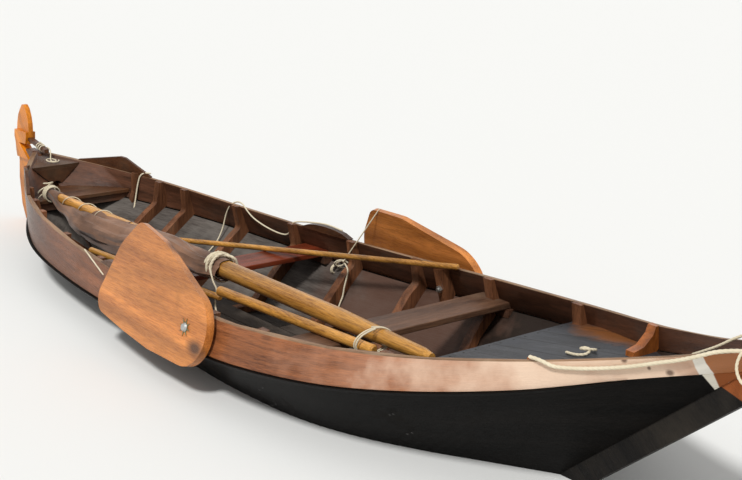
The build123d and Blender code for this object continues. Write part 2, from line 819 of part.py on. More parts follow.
# The rudder's board in side view, in two stretches that the tiller parts; station and height
HEAD_OUTLINE = (
    (-98, 745), (-91, 800), (-91, 852), (-100, 899), (-125, 952), (-154, 975), (-177, 975), (-217, 935),
    (-249, 895), (-271, 842), (-284, 790),
)
NECK = 704
BLADE_OUTLINE = ((-290, NECK), (-282, 641), (-277, 570), (-296, 440), (-280, 250), (-200, 84), (-120, RUDDER_FOOT))
board_outline = [
    behind_stem(RUDDER_GAP, RUDDER_FOOT),
    behind_stem(RUDDER_GAP, NECK),
    (STERN - 112, NECK),
    *[(STERN + station, height) for station, height in HEAD_OUTLINE + BLADE_OUTLINE],
]
with BuildPart() as rudder_blade:
    with BuildSketch(Plane.XZ.offset(-RUDDER_BOARD / 2)):
        Polygon(*board_outline, align=None)
        Polygon(*tiller_band(-TILLER_DEPTH / 2 - SEAT, LENGTH), align=None, mode=Mode.SUBTRACT)
    extrude(amount=RUDDER_BOARD)

with BuildPart() as rudder_head:
    with BuildSketch(Plane.XZ.offset(-RUDDER_BOARD / 2)):
        Polygon(*board_outline, align=None)
        Polygon(*tiller_band(-LENGTH, TILLER_DEPTH / 2 + SEAT), align=None, mode=Mode.SUBTRACT)
    extrude(amount=RUDDER_BOARD)

# Rudder cheeks: they clasp the head, the tiller and the blade, and hold the three together
CHEEK_FOOT = 600
CHEEK_TOP = 790
with BuildPart() as rudder_cheeks:
    with BuildSketch(Plane.XZ.offset(-RUDDER_BOARD / 2 - SEAT - RUDDER_CHEEK)):
        Polygon(
            behind_stem(RUDDER_GAP + 4, CHEEK_FOOT),
            behind_stem(RUDDER_GAP + 4, NECK),
            (STERN - 118, NECK + 4),
            (STERN - 104, 752),
            (STERN - 100, CHEEK_TOP),
            (STERN - 287, CHEEK_TOP),
            (STERN - 296, 741),
            (STERN - 284, NECK),
            (STERN - 279, 640),
            (STERN - 270, CHEEK_FOOT),
            align=None,
        )
    extrude(amount=RUDDER_CHEEK)
    mirror(about=Plane.XZ)

# Tiller: between the head and the blade, and reaching over the stern deck
with BuildPart() as tiller:
    with BuildSketch(Plane.XZ.offset(-RUDDER_BOARD / 2)):
        Polygon(*tiller_band(-TILLER_DEPTH / 2, TILLER_DEPTH / 2, TILLER_FORE), align=None)
    extrude(amount=RUDDER_BOARD)

# Rudder irons: eyes on the stem and pins on the blade, at two places down the rake
IRON_STRAP = 4
IRON_WIDTH = 30
IRON_REACH = 58
EYE_RADIUS = RUDDER_GAP / 2 - 1
EYE_LENGTH = 24
PIN_LENGTH = 2 * EYE_LENGTH + 14
IRON_HEIGHTS = (590, 250)
down_rake = Vector(cos(RAKE), 0, -sin(RAKE))


def iron_plane(height):
    """A plane square to the rudder's axis: x across the boat, y ahead to the stem."""
    x, z = behind_stem(RUDDER_GAP / 2, height)
    return Plane(origin=(x, 0, z), x_dir=down_rake.cross(Vector(-sin(RAKE), 0, -cos(RAKE))), z_dir=down_rake)


def rudder_iron(level, side, width, hole):
    """A strap that clasps a timber on one side of the axis, with a boss or an eye on the axis."""
    radius = EYE_RADIUS if hole else EYE_RADIUS - 2
    face = RUDDER_GAP / 2 - SEAT
    with BuildPart() as iron:
        with BuildSketch(level):
            Circle(radius)
            with Locations((0, side * face / 2)):
                Rectangle(2 * radius, face)
            with Locations((0, side * (face - IRON_STRAP / 2))):
                Rectangle(width + 2 * SEAT + 2 * IRON_STRAP, IRON_STRAP)
            with Locations((0, side * (face - IRON_STRAP + IRON_REACH / 2))):
                with GridLocations(width + 2 * SEAT + IRON_STRAP, 1, 2, 1):
                    Rectangle(IRON_STRAP, IRON_REACH)
            if hole:
                Circle(PINTLE_RADIUS + PINTLE_FIT, mode=Mode.SUBTRACT)
        extrude(amount=EYE_LENGTH)
    return iron.part


with BuildPart() as rudder_eyes:
    for height in IRON_HEIGHTS:
        add(rudder_iron(iron_plane(height), 1, STEM_WIDTH, True))

with BuildPart() as rudder_pins:
    for height in IRON_HEIGHTS:
        above = iron_plane(height).offset(-EYE_LENGTH - BOLT_PLAY)
        add(rudder_iron(above, -1, RUDDER_BOARD, False))
        with BuildSketch(above):
            Circle(PINTLE_RADIUS)
        extrude(amount=PIN_LENGTH)

# Spars. The mast lies on the mast thwart and the bench, with its heel forward.
MAST_PARALLEL = 1800
heel_station, head_station = MAST_FRAME + MAST_HEEL_REACH, BENCH[1] - MAST_HEAD_REACH
bench_radius = MAST_TIP_RADIUS + (MAST_RADIUS - MAST_TIP_RADIUS) * MAST_HEAD_REACH / (
    heel_station - MAST_PARALLEL - head_station
)
thwart_rest = MAST_THWART_TOP + SEAT + MAST_RADIUS
bench_rest = BENCH_TOP + SEAT + bench_radius


def mast_point(station):
    """The mast's centre at a station, by the line through its two rests."""
    share = (station - BENCH[1]) / (MAST_THWART[0] - BENCH[1])
    return Vector(STERN + station, MAST_OUT, bench_rest + (thwart_rest - bench_rest) * share)


heel, head = mast_point(heel_station), mast_point(head_station)
MAST_PROFILE = (
    # distance from the heel, radius
    (0, 20),
    (60, 31),
    (700, MAST_RADIUS),
    (MAST_PARALLEL, MAST_RADIUS),
    ((head - heel).length, MAST_TIP_RADIUS),
)


def spar(start, finish, profile):
    """A turned spar; profile rows are distance from the start and radius."""
    run = finish - start
    side_on = Plane(origin=start, x_dir=run, z_dir=Vector(0, 0, 1).cross(run))
    with BuildPart() as turned:
        with BuildSketch(side_on):
            Polygon((0, 0), *profile, (profile[-1][0], 0), align=None)
        revolve(axis=Axis(start, run), revolution_arc=360)
    return turned.part


def round_bar(start, finish, radius):
    """A spar of one radius with chamfered ends."""
    bevel = radius / 3
    length = (finish - start).length
    end, shoulder = radius - bevel, length - bevel
    return spar(start, finish, ((0, end), (bevel, radius), (shoulder, radius), (length, end)))


with BuildPart() as mast:
    add(spar(heel, head, MAST_PROFILE))

sprit_height = MAST_THWART_TOP + SPRIT_RADIUS + SEAT
with BuildPart() as sprit:
    ends = [Vector(STERN + MAST_FRAME + ahead, out, sprit_height) for ahead, out in SPRIT_ENDS]
    add(round_bar(*ends, SPRIT_RADIUS))

red_station = LENGTH * RED_THWART_PLACE
boom_height = RED_THWART_TOP + BOOM_RADIUS + SEAT
with BuildPart() as boom:
    ends = [Vector(STERN + red_station + ahead, out, boom_height) for ahead, out in BOOM_ENDS]
    add(round_bar(*ends, BOOM_RADIUS))

# The pole lies on the red thwart's after edge and on the port short frame's head.
post_station = PORT_PLANE.origin.X - STERN
post_rest = on_line(SHEER, post_station)[1] - SHORT_DROP
pole_slope = (post_rest - RED_THWART_TOP) / (post_station - FRAME_SIDED / 2 - RED_THWART[0])
pole_lift = POLE_RADIUS / cos(atan2(pole_slope, 1)) + SEAT


def pole_point(station, out):
    """The pole's centre at a station."""
    return Vector(STERN + station, out, RED_THWART_TOP + pole_slope * (station - RED_THWART[0]) + pole_lift)


with BuildPart() as pole:
    stations = RED_THWART[0] + POLE_REACH[0], post_station + POLE_REACH[1]
    ends = [pole_point(*end) for end in zip(stations, POLE_OUT)]
    add(round_bar(*ends, POLE_RADIUS))

# Sail: rolled on the lower side of the mast, and resting on the red thwart where it is fullest
SAIL_SIDES = 12
SAIL_HALF = 90
SAIL_SECTIONS = (
    # share of the way from the mast's head to its thwart, out, above the mast, half width and height
    (0.003, 3, 6, 34, 34),
    (0.020, 2, 6, 34, 35),
    (0.090, -10, -56, 42, 46),
    (0.220, -45, -72, 85, 90),
    (0.362, -50, -62, SAIL_HALF, 90),
    (0.472, -50, -17, 100, 95),
    (0.548, -45, 0, SAIL_HALF, SAIL_HALF),
    (0.630, -30, -18, 65, 65),
    (0.693, -10, -8, 58, 58),
)


def many_sided(middle, half_width, half_height):
    """The corners of an upright section of the roll."""
    turns = [2 * pi * (k + 0.5) / SAIL_SIDES for k in range(SAIL_SIDES)]
    return [middle + Vector(0, half_width * sin(t), half_height * cos(t)) for t in turns]


sail_sections = []
for share, out, up, half_width, half_height in SAIL_SECTIONS:
    middle = mast_point(head_station + share * (MAST_THWART[0] - head_station)) + Vector(0, out, up)
    if half_height == SAIL_HALF:
        middle.Z = max(middle.Z, RED_THWART_TOP + half_height)
    sail_sections.append(many_sided(middle, half_width, half_height))
core = [(heel, MAST_RADIUS), (mast_point(heel_station - MAST_PARALLEL), MAST_RADIUS), (head, MAST_TIP_RADIUS)]
core_radii = [(middle, (radius + SEAT) / cos(pi / SAIL_SIDES)) for middle, radius in core]

with BuildPart() as sail_bundle:
    ring = [(k, (k + 1) % SAIL_SIDES) for k in range(SAIL_SIDES)]
    add(solid_of(sail_sections, ring))
    add(solid_of([many_sided(middle, radius, radius) for middle, radius in core_radii], ring), mode=Mode.SUBTRACT)

PARTS = {
    "bottom_planks": bottom_planks,
    "side_plank_port": side_plank_port,
    "side_plank_starboard": side_plank_starboard,
    "top_strake_port": top_strake_port,
    "top_strake_starboard": top_strake_starboard,
    "rub_strake_port": rub_strake_port,
    "rub_strake_starboard": rub_strake_starboard,
    "bow_stem": bow_stem,
    "stern_stem": stern_stem,
    "side_frames_port": side_frames_port,
    "side_frames_starboard": side_frames_starboard,
    "floor_timbers": floor_timbers,
    "floorboards": floorboards,
    "mast_thwart": mast_thwart,
    "red_thwart": red_thwart,
    "stern_bench": stern_bench,
    "thwart_cleats": thwart_cleats,
    "foredeck": foredeck,
    "foredeck_beam": foredeck_beam,
    "stern_deck": stern_deck,
    "bench_beam": bench_beam,
    "stern_apron": stern_apron,
    "stern_knees": stern_knees,
    "bow_knees": bow_knees,
    "short_frames": short_frames,
    "quarter_board_port": quarter_board_port,
    "quarter_board_starboard": quarter_board_starboard,
    "rowlock_cheeks": rowlock_cheeks,
    "leeboard_port": leeboard_port,
    "leeboard_starboard": leeboard_starboard,
    "star_plate_port": star_plate_port,
    "star_plate_starboard": star_plate_starboard,
    "leeboard_bolts": leeboard_bolts,
    "leeboard_pads": leeboard_pads,
    "bolt_nuts": bolt_nuts,
    "rudder_blade": rudder_blade,
    "rudder_head": rudder_head,
    "rudder_cheeks": rudder_cheeks,
    "tiller": tiller,
    "rudder_eyes": rudder_eyes,
    "rudder_pins": rudder_pins,
    "mast": mast,
    "sprit": sprit,
    "boom": boom,
    "pole": pole,
    "sail_bundle": sail_bundle,
}
for node, piece in PARTS.items():
    piece.part.label = node
    export_step(piece.part, f"parts/{node}.step")
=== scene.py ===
"""Looks of the sailing punt: ropes, varnish and tar, weathered boards, spars and a rolled sail.

Metres. +X is the bow, +Y the port side, +Z up. Stations run forward from the aft end of the sheer.
"""
from math import cos, pi, radians, sin, tan

import bmesh
import bpy
from mathutils import Matrix, Vector
from mathutils.geometry import tessellate_polygon


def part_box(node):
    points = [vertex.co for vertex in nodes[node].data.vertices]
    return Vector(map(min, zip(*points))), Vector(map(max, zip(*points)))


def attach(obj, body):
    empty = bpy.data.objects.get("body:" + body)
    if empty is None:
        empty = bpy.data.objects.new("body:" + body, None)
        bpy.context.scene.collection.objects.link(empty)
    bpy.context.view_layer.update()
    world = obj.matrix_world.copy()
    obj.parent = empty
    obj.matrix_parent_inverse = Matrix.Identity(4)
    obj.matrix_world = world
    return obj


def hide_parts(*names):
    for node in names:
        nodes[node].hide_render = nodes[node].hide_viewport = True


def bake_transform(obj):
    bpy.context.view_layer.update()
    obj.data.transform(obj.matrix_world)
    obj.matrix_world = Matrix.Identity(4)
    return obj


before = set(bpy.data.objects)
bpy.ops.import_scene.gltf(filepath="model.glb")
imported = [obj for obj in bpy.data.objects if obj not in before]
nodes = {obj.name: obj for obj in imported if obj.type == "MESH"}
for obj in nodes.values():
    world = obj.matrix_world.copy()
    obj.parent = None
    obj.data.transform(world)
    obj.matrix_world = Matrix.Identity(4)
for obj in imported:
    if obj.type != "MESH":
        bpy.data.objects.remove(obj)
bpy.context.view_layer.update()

# Camera: it stands above the starboard bow and looks down along the boat with a long lens. The
# shift holds the picture's frame, which was cropped below the middle of the view.
FRAME_WIDTH, FOCAL, RAISED = 742, 1371, 59.5  # in the picture's pixels
SENSOR_WIDTH = 36
CAMERA_PLACE = (5.7635, -3.892, 2.585)
HEADING, DOWN, ROLL = 2.483, 0.307, 0.010
ahead = Vector((cos(HEADING) * cos(DOWN), sin(HEADING) * cos(DOWN), -sin(DOWN)))
level = Vector((sin(HEADING), -cos(HEADING), 0))
upright = level.cross(ahead)
right = level * cos(ROLL) + upright * sin(ROLL)
above = upright * cos(ROLL) - level * sin(ROLL)
eye = bpy.data.cameras.new("camera")
eye.sensor_width = SENSOR_WIDTH
eye.lens = SENSOR_WIDTH * FOCAL / FRAME_WIDTH
eye.shift_y = RAISED / FRAME_WIDTH
camera = bpy.data.objects.new("camera", eye)
turned = Matrix((right, above, -ahead)).transposed().to_4x4()
camera.matrix_world = Matrix.Translation(CAMERA_PLACE) @ turned
bpy.context.scene.collection.objects.link(camera)
bpy.context.scene.camera = camera

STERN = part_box("top_strake_port")[0].x


def at(station, out, up):
    """A place in the boat from its station, its distance out to port and its height."""
    return Vector((STERN + station, out, up))


# Ropes: three-strand hemp line, weathered pale and stiff. The painter lies along the near
# strake to the stem's head, and the others lie where they were dropped or hitched.
def linear(shade):
    """An sRGB hex colour as linear red, green, blue and alpha."""
    parts = [int(shade[i:i + 2], 16) / 255 for i in (1, 3, 5)]
    return (*[c / 12.92 if c <= 0.04045 else ((c + 0.055) / 1.055) ** 2.4 for c in parts], 1)


def add_node(tree, kind, feeds=(), **settings):
    """A shader node with its settings, and a link or a value for each input that is fed."""
    made = tree.nodes.new(kind)
    for setting, value in settings.items():
        setattr(made, setting, value)
    for socket, value in dict(feeds).items():
        if isinstance(value, bpy.types.NodeSocket):
            tree.links.new(value, made.inputs[socket])
        else:
            made.inputs[socket].default_value = value
    return made


def bare_material(name):
    """A material whose shader is still to be fed."""
    material = bpy.data.materials.new(name)
    material.use_nodes = True
    return material, material.node_tree, material.node_tree.nodes["Principled BSDF"]


def hemp_rope():
    """Laid hemp bleached by the sun: quite dull, cream on the strands' crowns, brown where it has
    been handled wet, and darker in painted shade between the strands. Its fibres are drawn at
    2.4 mm, so that they show."""
    material, tree, surface = bare_material("bleached_hemp_rope")
    place = add_node(tree, "ShaderNodeTexCoord")
    soil = add_node(
        tree, "ShaderNodeTexNoise", {"Vector": place.outputs["Object"], "Scale": 9, "Detail": 3},
    )
    fibre = add_node(
        tree, "ShaderNodeTexNoise", {"Vector": place.outputs["Object"], "Scale": 420, "Detail": 2},
    )
    shade = add_node(
        tree, "ShaderNodeMix",
        {0: soil.outputs["Fac"], 6: linear("#f3ead3"), 7: linear("#b8a98a")}, data_type="RGBA",
    )
    fibres = add_node(
        tree, "ShaderNodeMix",
        {0: fibre.outputs["Fac"], 6: shade.outputs[2], 7: linear("#d8cbae")}, data_type="RGBA",
    )
    # Painted shade: concave places between the strands are darkened, standing in for the shade
    # there.
    form = add_node(tree, "ShaderNodeNewGeometry")
    painted_groove_shade = add_node(
        tree, "ShaderNodeMapRange",
        {"Value": form.outputs["Pointiness"], "From Min": 0.52, "From Max": 0.46},
    )
    fibres = add_node(
        tree, "ShaderNodeMix",
        {0: painted_groove_shade.outputs[0], 6: fibres.outputs[2], 7: linear("#6e5f45")}, data_type="RGBA",
    )
    lift = add_node(
        tree, "ShaderNodeBump",
        {"Strength": 0.5, "Distance": 0.0012, "Height": fibre.outputs["Fac"]},
    )
    tree.links.new(fibres.outputs[2], surface.inputs["Base Color"])
    tree.links.new(lift.outputs["Normal"], surface.inputs["Normal"])
    surface.inputs["Roughness"].default_value = 0.9
    surface.inputs["Specular IOR Level"].default_value = 0.2
    return material


def skin(name, rings, materials, column=None, closed=True, capped=True):
    """A mesh over rings of corners. Its UV runs along the piece and round it, in metres."""
    count, around = len(rings), len(rings[0])
    faces, kinds, spans = [], [], []
    for i in range(count - 1):
        for k in range(around if closed else around - 1):
            n = (k + 1) % around
            near, far = i * around, (i + 1) * around
            faces.append((near + k, near + n, far + n, far + k))
            kinds.append(column(k) if column else 0)
            spans.append((i, k))
    if capped:
        last = (count - 1) * around
        faces += [tuple(range(around))[::-1], tuple(range(last, last + around))]
        kinds += [0, 0]
    mesh = bpy.data.meshes.new(name)
    mesh.from_pydata([tuple(corner) for ring in rings for corner in ring], [], faces)
    for material in materials:
        mesh.materials.append(material)
    run = [0.0]
    for a, b in zip(rings, rings[1:]):
        run.append(run[-1] + (sum(b, Vector()) - sum(a, Vector())).length / around)
    girth = [0.0]
    widest = rings[count // 2]
    for k in range(around):
        girth.append(girth[-1] + (widest[(k + 1) % around] - widest[k]).length)
    layer = mesh.uv_layers.new(name="run")
    for number, polygon in enumerate(mesh.polygons):
        polygon.material_index = kinds[number]
        polygon.use_smooth = True
        if number < len(spans):
            i, k = spans[number]
            corners = ((i, k), (i, k + 1), (i + 1, k + 1), (i + 1, k))
            for loop, (along, across) in zip(polygon.loop_indices, corners):
                layer.data[loop].uv = (run[along], girth[across])
    mesh.set_sharp_from_angle(angle=radians(38))
    piece = bpy.data.objects.new(name, mesh)
    bpy.context.scene.collection.objects.link(piece)
    return piece


def smooth_line(name, places):
    """Close points along the smooth line that a rope takes through given places."""
    data = bpy.data.curves.new(name + "_line", "CURVE")
    data.dimensions = "3D"
    data.resolution_u = 20
    spline = data.splines.new("NURBS")
    spline.points.add(len(places) - 1)
    for point, place in zip(spline.points, places):
        point.co = (*place, 1)
    spline.order_u = 3
    spline.use_endpoint_u = True
    spline.resolution_u = 20
    line = bpy.data.objects.new(name + "_line", data)
    bpy.context.scene.collection.objects.link(line)
    read = bpy.data.meshes.new_from_object(line)
    found = [v.co.copy() for v in read.vertices]
    bpy.data.objects.remove(line)
    bpy.data.curves.remove(data)
    bpy.data.meshes.remove(read)
    return found


ROPE_SIDES, LAY = 12, 4


def strands(line, diameter):
    """Rings of a three-strand rope about a line, turning once in four diameters."""
    rings, side, turn = [], None, 0.0
    for i, place in enumerate(line):
        run = (line[min(i + 1, len(line) - 1)] - line[max(i - 1, 0)]).normalized()
        if side is None:
            side = run.orthogonal().normalized()
        else:
            turn += 2 * pi * (place - line[i - 1]).length / (LAY * diameter)
        side = (side - run * side.dot(run)).normalized()
        up = run.cross(side)
        ring = []
        for k in range(ROPE_SIDES):
            angle = 2 * pi * k / ROPE_SIDES
            reach = diameter / 2 * (0.80 + 0.20 * abs(cos(1.5 * (angle - turn))))
            ring.append(place + side * (reach * cos(angle)) + up * (reach * sin(angle)))
        rings.append(ring)
    return rings


HEMP = hemp_rope()


def laid_rope(name, places, diameter):
    """A rope led through places, and the close points of its middle."""
    line = smooth_line(name, places)
    piece = skin(name, strands(line, diameter), [HEMP])
    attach(piece, "hull")
    return piece, line


def free_rope(name, places, diameter, **facts):
    """A rope that is held at one end only, or lies loose."""
    piece, line = laid_rope(name, places, diameter)


free_rope(
    "painter",
    [
        at(5.275, -0.376, 0.790), at(5.323, -0.372, 0.792), at(5.359, -0.361, 0.781),
        at(5.390, -0.349, 0.775), at(5.475, -0.313, 0.787), at(5.547, -0.282, 0.803),
        at(5.617, -0.252, 0.821), at(5.688, -0.223, 0.844), at(5.758, -0.197, 0.871),
        at(5.829, -0.173, 0.895), at(5.900, -0.152, 0.928), at(5.965, -0.136, 0.962),
        at(6.060, -0.105, 0.985), at(6.180, -0.068, 0.990), at(6.318, -0.046, 0.992),
        at(6.340, 0.000, 0.996), at(6.318, 0.046, 1.000), at(6.240, 0.060, 1.002),
        at(6.150, 0.046, 1.004),
    ],
    0.016, far_end="knot", lay="loose",
)
free_rope(
    "side_line",
    [
        at(1.510, 0.440, 0.214), at(1.517, 0.500, 0.262), at(1.507, 0.560, 0.350),
        at(1.510, 0.585, 0.450), at(1.560, 0.588, 0.520), at(1.620, 0.604, 0.551),
        at(1.690, 0.600, 0.549), at(1.740, 0.594, 0.520), at(1.800, 0.606, 0.475),
        at(1.929, 0.628, 0.436), at(2.060, 0.648, 0.420), at(2.126, 0.656, 0.436),
        at(2.170, 0.640, 0.520), at(2.240, 0.650, 0.542), at(2.454, 0.666, 0.572),
        at(2.550, 0.669, 0.574), at(2.640, 0.674, 0.566),
    ],
    0.010, far_end="bare", lay="loose",
)

# Light and floor: an even white sky with a broad soft sun ahead to starboard, and a pale floor
# at the height of the hull's load line, cut out where the hull stands through it.
LOAD_LINE = 0.151
SKY_ON_BOAT, SKY_SEEN = 0.55, 1.0
SUN_STRENGTH, SUN_SPREAD, SUN_FROM = 2.5, 0.16, Vector((0.42, -0.62, 0.95))
sky = bpy.data.worlds.new("even_sky")
sky.use_nodes = True
bpy.context.scene.world = sky
sky_back = sky.node_tree.nodes["Background"]
seen = add_node(sky.node_tree, "ShaderNodeLightPath")
straight = add_node(
    sky.node_tree, "ShaderNodeMath",
    {0: seen.outputs["Is Camera Ray"], 1: seen.outputs["Is Transmission Ray"]}, operation="MAXIMUM",
)
shown = add_node(
    sky.node_tree, "ShaderNodeMath",
    {0: straight.outputs[0], 1: seen.outputs["Is Glossy Ray"]}, operation="MAXIMUM",
)
level_light = add_node(
    sky.node_tree, "ShaderNodeMapRange",
    {"Value": shown.outputs[0], "To Min": SKY_ON_BOAT, "To Max": SKY_SEEN},
)
sky_back.inputs["Color"].default_value = (1, 1, 1, 1)
sky.node_tree.links.new(level_light.outputs[0], sky_back.inputs["Strength"])
sun_light = bpy.data.lights.new("soft_sun", "SUN")
sun_light.energy = SUN_STRENGTH
sun_light.angle = SUN_SPREAD
sun = bpy.data.objects.new("soft_sun", sun_light)
sun.matrix_world = SUN_FROM.to_track_quat("Z", "Y").to_matrix().to_4x4()
bpy.context.scene.collection.objects.link(sun)
bpy.context.scene.view_settings.view_transform = "Standard"

# Side planks: one broad tarred plank a side, bent round the frames and flared from the chine to
# the knuckle. Outside it is black with tar over oil; inside it has weathered to grey.
LENGTH, HALF_BEAM, DEPTH = 6.2, 0.8, 0.52
AFT_OVERHANG, FORE_OVERHANG = 0.85, 1.14
BOTTOM_PLANK, SIDE_PLANK, SEAT = 0.028, 0.022, 0.0003
LINES = (
    # station, chine out, chine up, knuckle out, knuckle up, sheer out, sheer up
    (0.00, 0.044, 0.115, 0.050, 0.894, 0.050, 1.288),
    (0.06, 0.175, 0.067, 0.444, 0.815, 0.338, 1.188),
    (0.13, 0.294, 0.029, 0.681, 0.740, 0.559, 1.106),
    (0.20, 0.388, 0.010, 0.815, 0.688, 0.695, 1.046),
    (0.30, 0.488, 0.000, 0.899, 0.658, 0.801, 1.002),
    (0.40, 0.550, 0.000, 0.944, 0.660, 0.868, 0.992),
    (0.50, 0.600, 0.000, 0.983, 0.692, 0.916, 1.019),
    (0.60, 0.638, 0.000, 1.000, 0.763, 0.923, 1.087),
    (0.70, 0.644, 0.000, 0.920, 0.888, 0.838, 1.194),
    (0.78, 0.570, 0.010, 0.758, 1.037, 0.681, 1.327),
    (0.86, 0.412, 0.038, 0.515, 1.238, 0.441, 1.508),
    (0.93, 0.238, 0.087, 0.270, 1.477, 0.226, 1.712),
    (1.00, 0.044, 0.173, 0.050, 1.702, 0.050, 1.962),
)
LAST = len(LINES) - 1


def rake_x(height, end):
    """The x of a stem's inner line at a height; end is 0 aft and -1 forward."""
    foot, head = (LENGTH - FORE_OVERHANG, LENGTH) if end else (AFT_OVERHANG, 0)
    low, high = DEPTH * LINES[end][2], DEPTH * LINES[end][6]
    return STERN + foot + (head - foot) * (height - low) / (high - low)


def hull_line(kind, lift=0.0):
    """The port chine (0), knuckle (1) or sheer (2) through the stations, raised by a lift."""
    out, up = 1 + 2 * kind, 2 + 2 * kind
    ends = [rake_x(DEPTH * LINES[end][up], end) for end in (0, -1)]
    line = [
        Vector((
            ends[0] + (ends[1] - ends[0]) * row[0], HALF_BEAM * row[out], DEPTH * row[up] + lift,
        ))
        for row in LINES
    ]
    for end in (0, -1):
        line[end].x = rake_x(line[end].z, end)
    return line


KNUCKLE, SHEER = hull_line(1), hull_line(2)
PLANK_FOOT = hull_line(0, BOTTOM_PLANK)
SEAM = [p - Vector((0, 0, SEAT)) for p in KNUCKLE]


def inboard(i):
    """The level direction from the port knuckle into the boat at a station."""
    run = KNUCKLE[min(i + 1, LAST)] - KNUCKLE[max(i - 1, 0)]
    return Vector((run.y, -run.x, 0)).normalized()


def through(low, high, i):
    """Level distance through a plank for each unit of its thickness."""
    run = (KNUCKLE[min(i + 1, LAST)] - KNUCKLE[max(i - 1, 0)]).normalized()
    return 1 / abs(run.cross(high[i] - low[i]).normalized().dot(inboard(i)))


def inner_line(line, low, high, thickness):
    """A line of a plank's inner face."""
    return [line[i] + inboard(i) * thickness * through(low, high, i) for i in range(LAST + 1)]


STEPS = 6


def faired(line, fair=True):
    """Places along a line: bent fair through its stations, or straight from one to the next."""
    places = []
    for i in range(len(line) - 1):
        a, b, c, d = line[max(i - 1, 0)], line[i], line[i + 1], line[min(i + 2, len(line) - 1)]
        for step in range(STEPS):
            t = step / STEPS
            if fair:
                square, cube = a * 2 - b * 5 + c * 4 - d, b * 3 - a - c * 3 + d
                places.append((b * 2 + (c - a) * t + square * t ** 2 + cube * t ** 3) / 2)
            else:
                places.append(b.lerp(c, t))
    return places + [line[-1]]


def eased(corners, worn):
    """A ring of corners with each one worn away by a short flat."""
    ring = []
    for k, corner in enumerate(corners):
        for other in (corners[k - 1], corners[(k + 1) % len(corners)]):
            ring.append(corner + (other - corner).normalized() * worn)
    return ring


def plank(name, low, high, thickness, materials, column, worn, middle=None):
    """A port plank whose outer face is bent fair, and whose inner face keeps to the frames."""
    outer = [faired(line) for line in ([low, middle, high] if middle else [low, high])]
    inner = [faired(inner_line(line, low, high, thickness), False) for line in (high, low)]
    rings = [eased(corners, worn) for corners in zip(*outer, *inner)]
    return skin(name, rings, materials, column)


def other_side(piece, name):
    """The starboard copy of a port piece."""
    mesh = piece.data.copy()
    for corner in mesh.vertices:
        corner.co.y *= -1
    mesh.flip_normals()
    copy = bpy.data.objects.new(name, mesh)
    bpy.context.scene.collection.objects.link(copy)
    return copy


